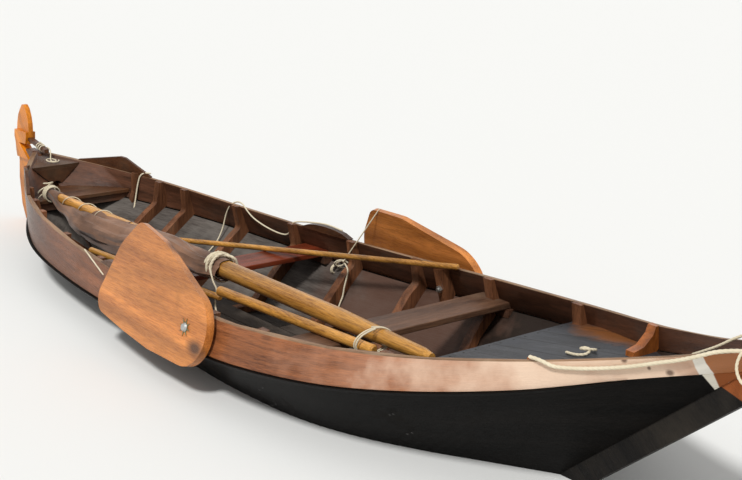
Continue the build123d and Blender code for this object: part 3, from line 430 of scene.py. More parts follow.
def timber(
    name, pale, dark, grey, weathered, roughness, turn=(0, 0, 0), knots=0.0, seams=None, coat=0.0,
    coordinates="Object", ring=0.014, zones=(), depth=0.0008, shine=0.2,
):
    """Sawn timber: growth rings run along the grain, with weathered patches, knots and seams.
    The eye gets pale and dark bands and short pores, greyer and duller where weather has been.

    ring is the width of a growth ring in metres, drawn a few times coarser than oak's or pine's
    2 to 4 mm so that it shows; knots is the way between knots, seams an axis, a board's width
    and an offset, zones are paints laid on by place, and depth is how far the grain stands."""
    material, tree, surface = bare_material(name)
    place = add_node(tree, "ShaderNodeTexCoord")
    along = add_node(
        tree, "ShaderNodeMapping", {"Vector": place.outputs[coordinates], "Rotation": turn},
    )
    grain = add_node(
        tree, "ShaderNodeMapping",
        {"Vector": along.outputs[0], "Scale": (0.9, 0.16 / ring, 0.16 / ring)},
    )
    figure = add_node(
        tree, "ShaderNodeTexNoise",
        {"Vector": grain.outputs[0], "Scale": 1.5, "Detail": 5, "Roughness": 0.62,
         "Distortion": 0.4},
    )
    streak = add_node(
        tree, "ShaderNodeMapping", {"Vector": along.outputs[0], "Scale": (3.5, 1 / ring, 1 / ring)},
    )
    pores = add_node(
        tree, "ShaderNodeTexNoise",
        {"Vector": streak.outputs[0], "Scale": 3.2, "Detail": 3, "Roughness": 0.7},
    )
    patch = add_node(
        tree, "ShaderNodeTexNoise",
        {"Vector": place.outputs["Object"], "Scale": 3.1, "Detail": 5, "Roughness": 0.62},
    )
    bands = add_node(
        tree, "ShaderNodeMapRange",
        {"Value": figure.outputs["Fac"], "From Min": 0.40, "From Max": 0.60},
    )
    fine = add_node(
        tree, "ShaderNodeMapRange",
        {"Value": pores.outputs["Fac"], "From Min": 0.42, "From Max": 0.62},
    )
    both = add_node(
        tree, "ShaderNodeMath", {0: bands.outputs[0], 1: fine.outputs[0]}, operation="ADD",
    )
    half = add_node(tree, "ShaderNodeMath", {0: both.outputs[0], 1: 0.5}, operation="MULTIPLY")
    shade = add_node(
        tree, "ShaderNodeMix", {0: half.outputs[0], 6: linear(pale), 7: linear(dark)},
        data_type="RGBA",
    ).outputs[2]
    worn = add_node(
        tree, "ShaderNodeMapRange",
        {"Value": patch.outputs["Fac"], "From Min": 0.62 - weathered * 0.5,
         "From Max": 0.86 - weathered * 0.5},
    )
    # Each board takes the finish unevenly, in clouds a hand or two long.
    broad = add_node(tree, "ShaderNodeMapping", {"Vector": along.outputs[0], "Scale": (0.5, 5, 5)})
    cloudy = add_node(
        tree, "ShaderNodeTexNoise", {"Vector": broad.outputs[0], "Scale": 1.7, "Detail": 4},
    )
    deep = add_node(
        tree, "ShaderNodeMapRange",
        {"Value": cloudy.outputs["Fac"], "From Min": 0.35, "From Max": 0.65, "To Min": 1.2,
         "To Max": 0.68},
    )
    shade = add_node(
        tree, "ShaderNodeVectorMath", {0: shade, "Scale": deep.outputs[0]}, operation="SCALE",
    ).outputs[0]
    bare = add_node(tree, "ShaderNodeMath", {0: worn.outputs[0], 1: 0.75}, operation="MULTIPLY")
    shade = add_node(
        tree, "ShaderNodeMix", {0: bare.outputs[0], 6: shade, 7: linear(grey)}, data_type="RGBA",
    ).outputs[2]
    height = fine.outputs[0]
    if knots:
        spots = add_node(
            tree, "ShaderNodeMapping",
            {"Vector": along.outputs[0], "Scale": (0.55 / knots, 1 / knots, 1 / knots)},
        )
        knot = add_node(
            tree, "ShaderNodeTexVoronoi",
            {"Vector": spots.outputs[0], "Scale": 1.0, "Randomness": 1.0},
        )
        eye_of = add_node(
            tree, "ShaderNodeMapRange",
            {"Value": knot.outputs["Distance"], "From Min": 0.05, "From Max": 0.16, "To Min": 0.9,
             "To Max": 0.0},
        )
        shade = add_node(
            tree, "ShaderNodeMix", {0: eye_of.outputs[0], 6: shade, 7: linear("#3a2214")},
            data_type="RGBA",
        ).outputs[2]
    for zone in zones:
        shade = zone(tree, place, shade)
    if seams:
        axis, spacing, offset = seams
        parted = add_node(tree, "ShaderNodeSeparateXYZ", {"Vector": place.outputs[coordinates]})
        shift = add_node(
            tree, "ShaderNodeMath", {0: parted.outputs[axis], 1: offset}, operation="ADD",
        )
        saw = add_node(
            tree, "ShaderNodeMath", {0: shift.outputs[0], 1: spacing / 2}, operation="PINGPONG",
        )
        gap = add_node(
            tree, "ShaderNodeMapRange",
            {"Value": saw.outputs[0], "From Min": 0.0008, "From Max": 0.003},
        )
        shade = add_node(
            tree, "ShaderNodeMix", {0: gap.outputs[0], 6: linear("#1d1611"), 7: shade},
            data_type="RGBA",
        ).outputs[2]
        height = add_node(
            tree, "ShaderNodeMath", {0: gap.outputs[0], 1: 4.0, 2: fine.outputs[0]},
            operation="MULTIPLY_ADD",
        ).outputs[0]
    glossy, dull = roughness
    sheen = add_node(
        tree, "ShaderNodeMapRange", {"Value": worn.outputs[0], "To Min": glossy, "To Max": dull},
    )
    lift = add_node(tree, "ShaderNodeBump", {"Strength": 0.6, "Distance": depth, "Height": height})
    tree.links.new(shade, surface.inputs["Base Color"])
    tree.links.new(sheen.outputs[0], surface.inputs["Roughness"])
    tree.links.new(lift.outputs["Normal"], surface.inputs["Normal"])
    surface.inputs["Specular IOR Level"].default_value = shine
    surface.inputs["Coat Weight"].default_value = coat
    surface.inputs["Coat Roughness"].default_value = 0.18
    return material


def painted_past(shade_hex, normal, edge, fade=0.004):
    """A zone of another shade past a plane: normal points into it, and edge lies on it."""
    start = Vector(normal).dot(edge)

    def zone(tree, place, shade):
        dot = add_node(
            tree, "ShaderNodeVectorMath", {0: place.outputs["Object"], 1: normal},
            operation="DOT_PRODUCT",
        )
        beyond = add_node(
            tree, "ShaderNodeMapRange",
            {"Value": dot.outputs["Value"], "From Min": start, "From Max": start + fade},
        )
        return add_node(
            tree, "ShaderNodeMix", {0: beyond.outputs[0], 6: shade, 7: linear(shade_hex)},
            data_type="RGBA",
        ).outputs[2]
    return zone


# Pine tar brushed over oak: near black, with a dull sheen that shows the grain and no more. It
# stops short of each end on a slant, with a white wedge and brown paint where it stops forward.
TAR = timber(
    "tarred_oak_planks", "#100d0b", "#050403", "#201a15", 0.10, (0.45, 0.75), coordinates="UV",
    ring=0.012, shine=0.04,
    zones=(
        painted_past("#d9d3c4", (0.984, 0.0, 0.176), at(5.885, 0, 0.822)),
        painted_past("#8a4f2c", (0.996, 0.0, -0.09), at(5.916, 0, 0.825)),
        painted_past("#8f5a33", (-0.62, 0.0, 0.785), at(0.46, 0, 0.352), fade=0.02),
    ),
)


def ways_forward(tree, place, scale, detail, spread):
    """The way forward along the hull, first plain, and then ragged for stains with torn ends."""
    parted = add_node(tree, "ShaderNodeSeparateXYZ", {"Vector": place.outputs["Object"]})
    noise = add_node(
        tree, "ShaderNodeTexNoise",
        {"Vector": place.outputs["Object"], "Scale": scale, "Detail": detail},
    )
    ragged = add_node(
        tree, "ShaderNodeMath", {0: noise.outputs["Fac"], 1: spread, 2: parted.outputs["X"]},
        operation="MULTIPLY_ADD",
    )
    return parted.outputs["X"], ragged.outputs[0]


def stained(tree, way, shade, stain, start, end, most):
    """A shade that takes more and more of a stain from one station to another."""
    share = add_node(
        tree, "ShaderNodeMapRange",
        {"Value": way, "From Min": STERN + start, "From Max": STERN + end, "To Max": most},
    )
    return add_node(
        tree, "ShaderNodeMix", {0: share.outputs[0], 6: shade, 7: linear(stain)}, data_type="RGBA",
    ).outputs[2]


def brown_forward(tree, place, shade):
    """Browner from the red thwart forward, and near black forward of the mast thwart."""
    ragged = ways_forward(tree, place, 5, 4, 0.9)[1]
    shade = stained(tree, ragged, shade, "#573a2c", 2.9, 3.3, 0.75)
    return stained(tree, ragged, shade, "#1e1813", 4.2, 4.45, 0.9)


# Bare sawn oak inside, gone grey with weather: matt and streaky, browner towards the bow.
GREY_INSIDE = timber(
    "weathered_plank_inside", "#665f59", "#3a332e", "#7a746c", 0.26, (0.6, 0.85), coordinates="UV",
    ring=0.02, zones=(brown_forward,),
)
SIDE_WORN, RUB_DEPTH = 0.003, 0.038
rub_foot = [top - (top - foot).normalized() * RUB_DEPTH for foot, top in zip(PLANK_FOOT, SEAM)]


def side_face(k):
    """Inside weathered, the rest tarred: the columns run foot, middle, seam and back inside."""
    return 1 if k == 7 else 0


side_port = plank(
    "side_plank_left", PLANK_FOOT, SEAM, SIDE_PLANK, [TAR, GREY_INSIDE], side_face, SIDE_WORN,
    middle=rub_foot,
)
side_starboard = other_side(side_port, "side_plank_right")
for piece, node in ((side_port, "side_plank_port"), (side_starboard, "side_plank_starboard")):
    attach(piece, "hull")
    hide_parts(node)

# Floor: pale matt paint, laid now that the hull's outline at its load line is known. Its hole ends
# inside the planks' thickness, so no light comes up between them.
FLOOR_REACH, INTO_PLANK, NARROWEST = 60, 0.012, 0.004
outline = []
for foot, seam in zip(faired(PLANK_FOOT), faired(SEAM)):
    place = foot.lerp(seam, (LOAD_LINE - foot.z) / (seam.z - foot.z))
    outline.append(Vector((place.x, max(place.y - INTO_PLANK, NARROWEST), LOAD_LINE)))
hole = outline + [Vector((p.x, -p.y, p.z)) for p in outline[::-1]]
edge = [
    Vector((x * FLOOR_REACH, y * FLOOR_REACH, LOAD_LINE))
    for x, y in ((-1, -1), (1, -1), (1, 1), (-1, 1))
]
floor_mesh = bpy.data.meshes.new("floor")
floor_mesh.from_pydata([tuple(p) for p in edge + hole], [], tessellate_polygon([edge, hole]))
floor = bpy.data.objects.new("floor", floor_mesh)
bpy.context.scene.collection.objects.link(floor)
floor_paint, _, floor_surface = bare_material("pale_matt_floor")
floor_surface.inputs["Base Color"].default_value = linear("#e6e6e3")
floor_surface.inputs["Roughness"].default_value = 0.9
floor_mesh.materials.append(floor_paint)

# Bottom: thick oak planks laid side by side between the chines, and tarred inside and out. The
# tar has gone browner and duller where feet and damp have worn it.
BOTTOM = timber(
    "tarred_bottom_planks", "#211c18", "#0f0c0a", "#38302a", 0.2, (0.45, 0.75),
    seams=("Y", 0.21, 0.105), ring=0.016,
)


def finish(material, *names):
    """Gives solids of the model a new finish."""
    for name in names:
        for held in nodes[name].material_slots:
            held.material = material


finish(BOTTOM, "bottom_planks")

# Top strakes: oak, varnished brown, leaning in amidships and flaring at the bow, where the
# sun has bleached them and where paler colour is also painted for the sunlight on them. A
# white stripe is painted across each near the bow.
strake_stripe = (
    painted_past("#e8e2d6", (0.987, 0.0, 0.16), at(5.868, 0, 0.870)),
    painted_past("#a4683d", (0.954, 0.0, 0.298), at(5.909, 0, 0.893)),
)


def sun_bleached_and_lit(tree, place, shade):
    """Varnish that is darker aft and turns pink and then cream towards the bow: partly bleached by
    the sun, and partly painted light for the sun on the flared bow.
    """
    plain, ragged = ways_forward(tree, place, 7, 6, 1.4)
    shade = stained(tree, plain, shade, "#42291a", 3.1, 1.2, 0.8)
    # Painted light: the pink and the cream stand partly for sunlight falling on the flared bow.
    shade = stained(tree, ragged, shade, "#bb8a6e", 4.8, 5.8, 0.8)
    creamy, waning = [
        add_node(
            tree, "ShaderNodeMapRange",
            {"Value": ragged, "From Min": STERN + start, "From Max": STERN + end, "To Min": low,
             "To Max": high},
        )
        for start, end, low, high in ((5.35, 6.15, 0.0, 0.75), (6.65, 6.35, 0.45, 1.0))
    ]
    forward = add_node(
        tree, "ShaderNodeMath", {0: creamy.outputs[0], 1: waning.outputs[0]}, operation="MULTIPLY",
    )
    return add_node(
        tree, "ShaderNodeMix", {0: forward.outputs[0], 6: shade, 7: linear("#ecd3ba")},
        data_type="RGBA",
    ).outputs[2]


def dark_knots(tree, place, shade):
    """Four small dark knots in the starboard strake near the bow."""
    for spot, width in (
        ((5.32, -0.345, 0.800), 0.012), ((5.625, -0.234, 0.850), 0.016),
        ((5.712, -0.194, 0.835), 0.010), ((5.781, -0.158, 0.829), 0.020),
    ):
        away = add_node(
            tree, "ShaderNodeVectorMath", {0: place.outputs["Object"], 1: at(*spot)},
            operation="DISTANCE",
        )
        eye_of = add_node(
            tree, "ShaderNodeMapRange",
            {"Value": away.outputs["Value"], "From Min": width, "From Max": 0.4 * width,
             "To Max": 0.8},
        )
        shade = add_node(
            tree, "ShaderNodeMix", {0: eye_of.outputs[0], 6: shade, 7: linear("#4a2b1c")},
            data_type="RGBA",
        ).outputs[2]
    return shade


# Oak under old brushed varnish outside: orange brown figure, with a gloss where it holds.
STRAKE = timber(
    "varnished_oak_strake", "#a5653c", "#5a321c", "#7a5236", 0.10, (0.28, 0.55), coordinates="UV",
    ring=0.012, knots=0.21, coat=0.12, zones=(sun_bleached_and_lit, dark_knots, *strake_stripe),
)
# The same varnish inside, never cleaned, and painted darker for the shade inside the leaning
# strake: a dull dark brown.
SHADED_STRAKE_INSIDE = timber(
    "worn_and_shaded_varnish_inside", "#684330", "#352116", "#54443a", 0.22, (0.4, 0.7), coordinates="UV",
    ring=0.014,
)
# The top edge, rubbed bare by hands and lines, and painted paler for the sun that it catches:
# pale, matt oak along the whole sheer.
RUBBED_AND_LIT_EDGE = timber(
    "rubbed_and_lit_strake_edge", "#9c7a5c", "#5e4431", "#a08c76", 0.3, (0.5, 0.8), coordinates="UV",
    ring=0.014,
)
TOP_STRAKE, TOP_WORN = 0.022, 0.004


def strake_face(k):
    """The inner face is worn and painted in shade, the top rubbed and painted lit; the columns run
    foot, sheer and back inside.
    """
    return 1 if k == 5 else 2 if k in (2, 3, 4) else 0


strake_port = plank(
    "top_strake_left", KNUCKLE, SHEER, TOP_STRAKE, [STRAKE, SHADED_STRAKE_INSIDE, RUBBED_AND_LIT_EDGE],
    strake_face, TOP_WORN,
)
strake_starboard = other_side(strake_port, "top_strake_right")
for piece, node in ((strake_port, "top_strake_port"), (strake_starboard, "top_strake_starboard")):
    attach(piece, "hull")
    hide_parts(node)

# Rub strake: a narrow oak ledge nailed on under the seam, to take the knocks for the planking.
# It is tarred with the plank, and stops short of the stems.
RUB_PROUD = 0.012
rub_outer = [
    faired([line[i] - inboard(i) * RUB_PROUD * through(rub_foot, SEAM, i) for i in range(1, LAST)])
    for line in (rub_foot, SEAM)
]
rub_inner = [faired(line[1:LAST]) for line in (SEAM, rub_foot)]
rub_rings = [eased(corners, SIDE_WORN) for corners in zip(*rub_outer, *rub_inner)]
rub_port = skin("rub_strake_left", rub_rings, [TAR])
rub_starboard = other_side(rub_port, "rub_strake_right")
for piece, node in ((rub_port, "rub_strake_port"), (rub_starboard, "rub_strake_starboard")):
    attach(piece, "hull")
    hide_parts(node)

# Stems: heavy hewn oak posts that take the planks' ends. The bow's is tarred, dull and rough
# along its grain, and its head is varnished a reddish brown above a slanted line.
STEM_TIMBER = timber(
    "tarred_oak_stem", "#1f1b17", "#0c0a09", "#36312b", 0.28, (0.5, 0.85),
    turn=(0, radians(-40), 0), ring=0.018, depth=0.002, shine=0.12,
    zones=(painted_past("#8c4d27", (0.267, 0.0, 0.964), at(5.897, 0, 0.793)),),
)
finish(STEM_TIMBER, "bow_stem")

# Frames: crooked oak, sawn to an S and nailed in pairs on the floor timbers. Old oil leaves
# them a pinkish brown, duller than varnish, with the grain standing up and down.
FRAME_OAK = timber(
    "oiled_oak_frames", "#8a5a3c", "#46291a", "#6a5646", 0.2, (0.45, 0.75),
    turn=(0, radians(90), 0), ring=0.014,
)
finish(FRAME_OAK, "side_frames_port", "side_frames_starboard", "short_frames", "stern_knees")

# Floor timbers, beams and cleats: straight sawn oak from side to side, under the boards. Oiled
# as the frames are, and darker where no sun reaches, with the grain across the boat.
ACROSS = (0, 0, radians(-90))
CROSS_OAK = timber(
    "oiled_oak_beams", "#6a4633", "#352016", "#5a4a3e", 0.2, (0.45, 0.75), turn=ACROSS, ring=0.014,
)
finish(CROSS_OAK, "floor_timbers", "thwart_cleats", "foredeck_beam", "bench_beam")

# Floorboards: loose sawn pine boards, laid fore and aft on the floor timbers. Untreated, they
# are grey with weather and dark with damp, and quite matt.
FLOORING = timber(
    "weathered_pine_floor", "#4d433b", "#2c2520", "#645b52", 0.3, (0.6, 0.9), ring=0.02,
)
finish(FLOORING, "floorboards")

# Thwarts and bench: single planed oak boards from side to side, notched round the frames and
# nailed to cleats. The mast thwart's varnish is worn through, and looks brown and greyish.
THWART = timber(
    "worn_oak_thwart", "#6e4f3b", "#3f2b20", "#7c6856", 0.24, (0.42, 0.7), turn=ACROSS, ring=0.02,
)
# The middle thwart was stained red under its varnish, and the stain still shows everywhere.
RED_THWART = timber(
    "red_stained_thwart", "#83391f", "#4e2012", "#6f4836", 0.08, (0.35, 0.6), turn=ACROSS,
    ring=0.018,
)
# The bench and the stern deck are out of the weather, and keep a soft gloss over dark oak.
BENCH = timber(
    "varnished_oak_bench", "#623f27", "#352013", "#604b38", 0.2, (0.35, 0.65), turn=ACROSS,
    ring=0.02, coat=0.1,
)
finish(THWART, "mast_thwart")
finish(RED_THWART, "red_thwart")
finish(BENCH, "stern_bench", "stern_deck")


# Foredeck: pine boards laid fore and aft on the beams, rising to the stem. They have weathered
# to a matt blue-grey, with an orange patch to port where the old varnish still holds.
def old_varnish(tree, place, shade):
    """Where the varnish still holds: along the port side, abreast of the knee."""
    drawn = add_node(
        tree, "ShaderNodeMapping",
        {"Vector": place.outputs["Object"], "Location": at(4.93, 0.485, 0.60),
         "Rotation": (0, 0, radians(-17)), "Scale": (0.50, 0.16, 1.0)},
        vector_type="TEXTURE",
    )
    reach = add_node(tree, "ShaderNodeVectorMath", {0: drawn.outputs[0]}, operation="LENGTH")
    ragged = add_node(
        tree, "ShaderNodeTexNoise", {"Vector": place.outputs["Object"], "Scale": 9, "Detail": 4},
    )
    torn = add_node(
        tree, "ShaderNodeMath", {0: ragged.outputs["Fac"], 1: 0.9, 2: reach.outputs["Value"]},
        operation="MULTIPLY_ADD",
    )
    held = add_node(
        tree, "ShaderNodeMapRange",
        {"Value": torn.outputs[0], "From Min": 1.25, "From Max": 0.75, "To Max": 0.85},
    )
    return add_node(
        tree, "ShaderNodeMix", {0: held.outputs[0], 6: shade, 7: linear("#7d4a1e")},
        data_type="RGBA",
    ).outputs[2]


DECK_BOARD = 0.15
DECKING = timber(
    "weathered_pine_deck", "#414245", "#232325", "#55565a", 0.26, (0.5, 0.8),
    seams=("Y", DECK_BOARD, DECK_BOARD / 2), ring=0.02, zones=(old_varnish,),
)
finish(DECKING, "foredeck")

# Bow knees: grown oak crooks that tie the strakes to the deck. They were varnished last, so
# they are a bright orange brown with the most gloss of anything inside.
KNEE = timber(
    "varnished_crook_knee", "#b86a30", "#7a431b", "#8a5c36", 0.10, (0.35, 0.6),
    turn=(0, radians(70), 0), ring=0.014, coat=0.3,
)
finish(KNEE, "bow_knees")

# Stern stem, apron, quarter boards, rowlock cheeks, pads and tiller: small planed oak pieces,
# nailed or bolted on. Brushed varnish over years of dirt leaves them dark with a soft gloss.
TRIM = timber(
    "varnished_oak_trim", "#5f3a22", "#321c10", "#54412f", 0.18, (0.35, 0.65), ring=0.014, coat=0.1,
)
finish(
    TRIM, "stern_stem", "stern_apron", "quarter_board_port", "quarter_board_starboard",
    "rowlock_cheeks", "leeboard_pads", "tiller",
)

# Leeboards: two elm boards edge to edge, sawn to a fan, on a bolt through the strake. Fresh
# varnish makes the elm a bright orange brown, with broad figure, knots and clear highlights.
BOARD = timber(
    "varnished_elm_board", "#d98b45", "#a4602a", "#8f5a2c", 0.07, (0.28, 0.5), ring=0.02,
    knots=0.33, coat=0.25,
)
# The rudder is the same timber, more yellow, with the grain down its slanted blade.
RUDDER = timber(
    "varnished_elm_rudder", "#dc861c", "#a65b12", "#8d5622", 0.10, (0.28, 0.55),
    turn=(0, radians(-50), 0), ring=0.018, coat=0.2,
)
finish(BOARD, "leeboard_port", "leeboard_starboard")
finish(RUDDER, "rudder_blade", "rudder_head", "rudder_cheeks")


# Metal: star plates cut from sheet copper and nailed on, hot-dipped bolts and nuts through the
# leeboards, and the forged irons that hang the rudder.
def metal(name, clean, tarnish, metallic, roughness):
    """Sheet or forged metal with tarnish in patches about 18 mm across."""
    material, tree, surface = bare_material(name)
    place = add_node(tree, "ShaderNodeTexCoord")
    spots = add_node(
        tree, "ShaderNodeTexNoise", {"Vector": place.outputs["Object"], "Scale": 55, "Detail": 4},
    )
    shade = add_node(
        tree, "ShaderNodeMix", {0: spots.outputs["Fac"], 6: linear(clean), 7: linear(tarnish)},
        data_type="RGBA",
    )
    gloss = add_node(
        tree, "ShaderNodeMapRange",
        {"Value": spots.outputs["Fac"], "To Min": roughness - 0.1, "To Max": roughness + 0.15},
    )
    tree.links.new(shade.outputs[2], surface.inputs["Base Color"])
    tree.links.new(gloss.outputs[0], surface.inputs["Roughness"])
    surface.inputs["Metallic"].default_value = metallic
    return material


# Copper's green crust lets the metal through in places; dipped zinc keeps a soft shine with grey
# spangles; and the irons' black paint is half worn to dark metal.
COPPER = metal("tarnished_copper_sheet", "#8f8a5e", "#5c6148", 0.6, 0.5)
ZINC = metal("zinc_dipped_steel", "#c9c9c4", "#8e8f8c", 0.9, 0.35)
IRON = metal("black_painted_iron", "#2c2a28", "#151412", 0.3, 0.5)
finish(COPPER, "star_plate_port", "star_plate_starboard")
finish(ZINC, "leeboard_bolts", "bolt_nuts")
finish(IRON, "rudder_eyes", "rudder_pins")

# Spars: turned pine, varnished, stowed in the boat with the sail. The varnish turns the pale
# wood yellow and glossy, with a straight grain and small dark knots.
PINE = timber(
    "varnished_pine_spar", "#d89c49", "#7b4e1d", "#583818", 0.07, (0.3, 0.55), ring=0.012,
    knots=0.16, coat=0.25,
)
finish(PINE, "mast", "sprit", "boom", "pole")

# Sail: tanned cotton, rolled loosely on the lower side of its mast and left to sag between
# the bench and the thwart. Its free edge hangs as a flap, and the roll lies in long soft folds.
MAST_OUT, MAST_TOP_AT, MAST_FOOT_AT = -0.205, 0.597, 4.497  # the mast's top lies aft
MAST_TOP, MAST_FOOT = at(MAST_TOP_AT, MAST_OUT, 0.5168), at(MAST_FOOT_AT, MAST_OUT, 0.5226)
MAST_THIN, MAST_SWELL, MAST_TAPER = 0.030, 0.019, 2.1
SAIL_SECTIONS = (
    # station, out from the mast, above the mast, half width, half height
    (0.606, 0.003, 0.006, 0.040, 0.038),
    (0.660, 0.000, 0.000, 0.040, 0.040),
    (0.883, -0.010, -0.056, 0.046, 0.050),
    (1.297, -0.045, -0.072, 0.088, 0.092),
    (1.748, -0.050, -0.062, 0.092, 0.092),
    (2.098, -0.050, -0.022, 0.100, 0.094),
    (2.340, -0.045, 0.000, 0.092, 0.090),
    (2.600, -0.030, -0.018, 0.066, 0.066),
    (2.798, -0.010, -0.008, 0.060, 0.060),
)


def mast_at(station):
    """The mast's middle and radius at a station."""
    share = (station - MAST_TOP_AT) / (MAST_FOOT_AT - MAST_TOP_AT)
    radius = MAST_THIN + MAST_SWELL * min(1.0, (station - MAST_TOP_AT) / MAST_TAPER)
    return MAST_TOP.lerp(MAST_FOOT, share), radius


ROLL_CORNERS, ROLL_FROM, ROLL_TURN = 64, radians(215), radians(505)
CLOTH_GAP = 0.004


def sail_ring(station):
    """A slice of the roll, from the inner turn of the cloth out to its hanging edge."""
    rows = SAIL_SECTIONS
    k = max(i for i in range(len(rows) - 1) if rows[i][0] <= station)
    a, b = rows[k], rows[k + 1]
    t = (station - a[0]) / (b[0] - a[0])
    t = t * t * (3 - 2 * t)
    out, up, wide, tall = [a[i] + (b[i] - a[i]) * t for i in range(1, 5)]
    core, radius = mast_at(station)
    full = min(wide, tall) / 0.09
    corners = []
    for j in range(ROLL_CORNERS):
        share = j / (ROLL_CORNERS - 1)
        angle = ROLL_FROM - share * ROLL_TURN
        # Four waves, from broad sags to narrow creases, none of them straight along the roll.
        swell = 0.10 * sin(2 * angle + 4.1 * station) + 0.06 * sin(5 * angle - 3.4 * station + 1)
        swell += 0.05 * sin(9 * angle + 6 * station + 2 * sin(5 * station))
        swell += 0.02 * sin(17 * angle - 11 * station)
        reach = 0.86 + 0.14 * share + swell * min(1.0, full + 0.2)
        corner = core + Vector((0, out + wide * reach * sin(angle), up + tall * reach * cos(angle)))
        away = Vector((0, corner.y - core.y, corner.z - core.z))
        if away.length < radius + CLOTH_GAP:
            corner = core + away.normalized() * (radius + CLOTH_GAP * (1 + share / 2))
        corner.x += 0.006 * sin(5 * angle + station * 7)
        corners.append(corner)
    return corners


# Cotton steeped in bark tan and faded by the sun: matt and fuzzy, in patches of pinkish and dark
# brown. The real threads are half a millimetre apart; they are drawn at 4 mm so that a weave
# shows. A wave texture repeats every pi / 10 of its vector, so its scale is turned into metres.
THREAD = 0.004
canvas_material, canvas_tree, canvas = bare_material("tanned_cotton_canvas")
cloth_place = add_node(canvas_tree, "ShaderNodeTexCoord")
weave = [
    add_node(
        canvas_tree, "ShaderNodeTexWave",
        {"Vector": cloth_place.outputs["UV"], "Scale": 1 / THREAD / 20 * pi},
        bands_direction=axis,
    )
    for axis in "XY"
]
woven = add_node(
    canvas_tree, "ShaderNodeMath", {0: weave[0].outputs["Fac"], 1: weave[1].outputs["Fac"]},
    operation="ADD",
)
faded = add_node(
    canvas_tree, "ShaderNodeTexNoise",
    {"Vector": cloth_place.outputs["Object"], "Scale": 4.5, "Detail": 5},
)
mottle = add_node(
    canvas_tree, "ShaderNodeMapRange",
    {"Value": faded.outputs["Fac"], "From Min": 0.35, "From Max": 0.68},
)
tan_shade = add_node(
    canvas_tree, "ShaderNodeMix",
    {0: mottle.outputs[0], 6: linear("#8f6b54"), 7: linear("#563d2e")}, data_type="RGBA",
)
# Creases: they run along the roll, a few centimetres apart, and deepen where the cloth is slack.
drawn_out = add_node(
    canvas_tree, "ShaderNodeMapping",
    {"Vector": cloth_place.outputs["UV"], "Scale": (2.2, 13, 1), "Rotation": (0, 0, 0.22)},
)
creases = add_node(
    canvas_tree, "ShaderNodeTexNoise",
    {"Vector": drawn_out.outputs[0], "Scale": 1.0, "Detail": 4, "Distortion": 0.8},
)
crease_lift = add_node(
    canvas_tree, "ShaderNodeBump",
    {"Strength": 0.8, "Distance": 0.02, "Height": creases.outputs["Fac"]},
)
cloth_lift = add_node(
    canvas_tree, "ShaderNodeBump",
    {"Strength": 0.35, "Distance": 0.0006, "Height": woven.outputs[0],
     "Normal": crease_lift.outputs["Normal"]},
)
canvas_tree.links.new(tan_shade.outputs[2], canvas.inputs["Base Color"])
canvas_tree.links.new(cloth_lift.outputs["Normal"], canvas.inputs["Normal"])
canvas.inputs["Roughness"].default_value = 0.88
canvas.inputs["Specular IOR Level"].default_value = 0.15
canvas.inputs["Sheen Weight"].default_value = 0.25
canvas.inputs["Sheen Roughness"].default_value = 0.5

sail_from, sail_run, SLICES = SAIL_SECTIONS[0][0], SAIL_SECTIONS[-1][0] - SAIL_SECTIONS[0][0], 150
sail_rings = [sail_ring(sail_from + sail_run * i / SLICES) for i in range(SLICES + 1)]
sail = skin("rolled_sail", sail_rings, [canvas_material], closed=False, capped=False)
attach(sail, "hull")
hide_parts("sail_bundle")

# Lashings: thinner line wound tight. The sail's head and its mast are tied together at the
# bench, a lacing runs up the mast, and the sprit's end is tied to the mast near its heel.
TURN_PLACES = 12


def turns_about(start, finish, wide, tall, count, spin=0.0):
    """Places for a line wound round the way from one place to another."""
    places = []
    for i in range(int(TURN_PLACES * count) + 1):
        share = i / (TURN_PLACES * count)
        angle = spin + 2 * pi * i / TURN_PLACES
        places.append(start.lerp(finish, share) + Vector((0, wide * sin(angle), tall * cos(angle))))
    return places


laid_rope(
    "head_lashing",
    turns_about(at(0.612, -0.203, 0.522), at(0.668, -0.206, 0.520), 0.054, 0.052, 4, 0.6),
    0.010,
)
laid_rope(
    "head_hitch",
    [
        at(0.600, -0.150, 0.530), at(0.570, -0.165, 0.560), at(0.560, -0.205, 0.577),
        at(0.600, -0.245, 0.585), at(0.640, -0.215, 0.592), at(0.610, -0.170, 0.590),
        at(0.560, -0.190, 0.556), at(0.545, -0.245, 0.530), at(0.575, -0.270, 0.520),
    ],
    0.010,
)
free_rope(
    "head_tail",
    [
        at(0.620, -0.262, 0.520), at(0.610, -0.285, 0.500), at(0.604, -0.300, 0.450),
        at(0.612, -0.305, 0.400), at(0.606, -0.300, 0.352),
    ],
    0.008, far_end="bare", lay="hanging",
)
laid_rope(
    "mast_lacing",
    turns_about(mast_at(0.80)[0], mast_at(1.50)[0], 0.0425, 0.0425, 3.2, 2.0),
    0.006,
)
throat = mast_at(2.76)[1]
laid_rope(
    "throat_lashing",
    turns_about(mast_at(2.66)[0], mast_at(2.745)[0], throat + 0.021, throat + 0.019, 3, 0.4)
    + turns_about(mast_at(2.78)[0], mast_at(2.70)[0], throat + 0.030, throat + 0.026, 2.0, 0.8),
    0.017,
)
free_rope(
    "throat_tail",
    [
        mast_at(2.745)[0] + Vector((0, -0.078, 0.020)), at(2.775, -0.292, 0.515),
        at(2.800, -0.296, 0.470), at(2.830, -0.285, 0.425), at(2.815, -0.300, 0.370),
        at(2.850, -0.310, 0.320),
    ],
    0.010, far_end="bare", lay="hanging",
)
laid_rope(
    "heel_tie",
    turns_about(at(4.135, -0.262, 0.512), at(4.165, -0.262, 0.512), 0.112, 0.062, 2, 0.0),
    0.009,
)
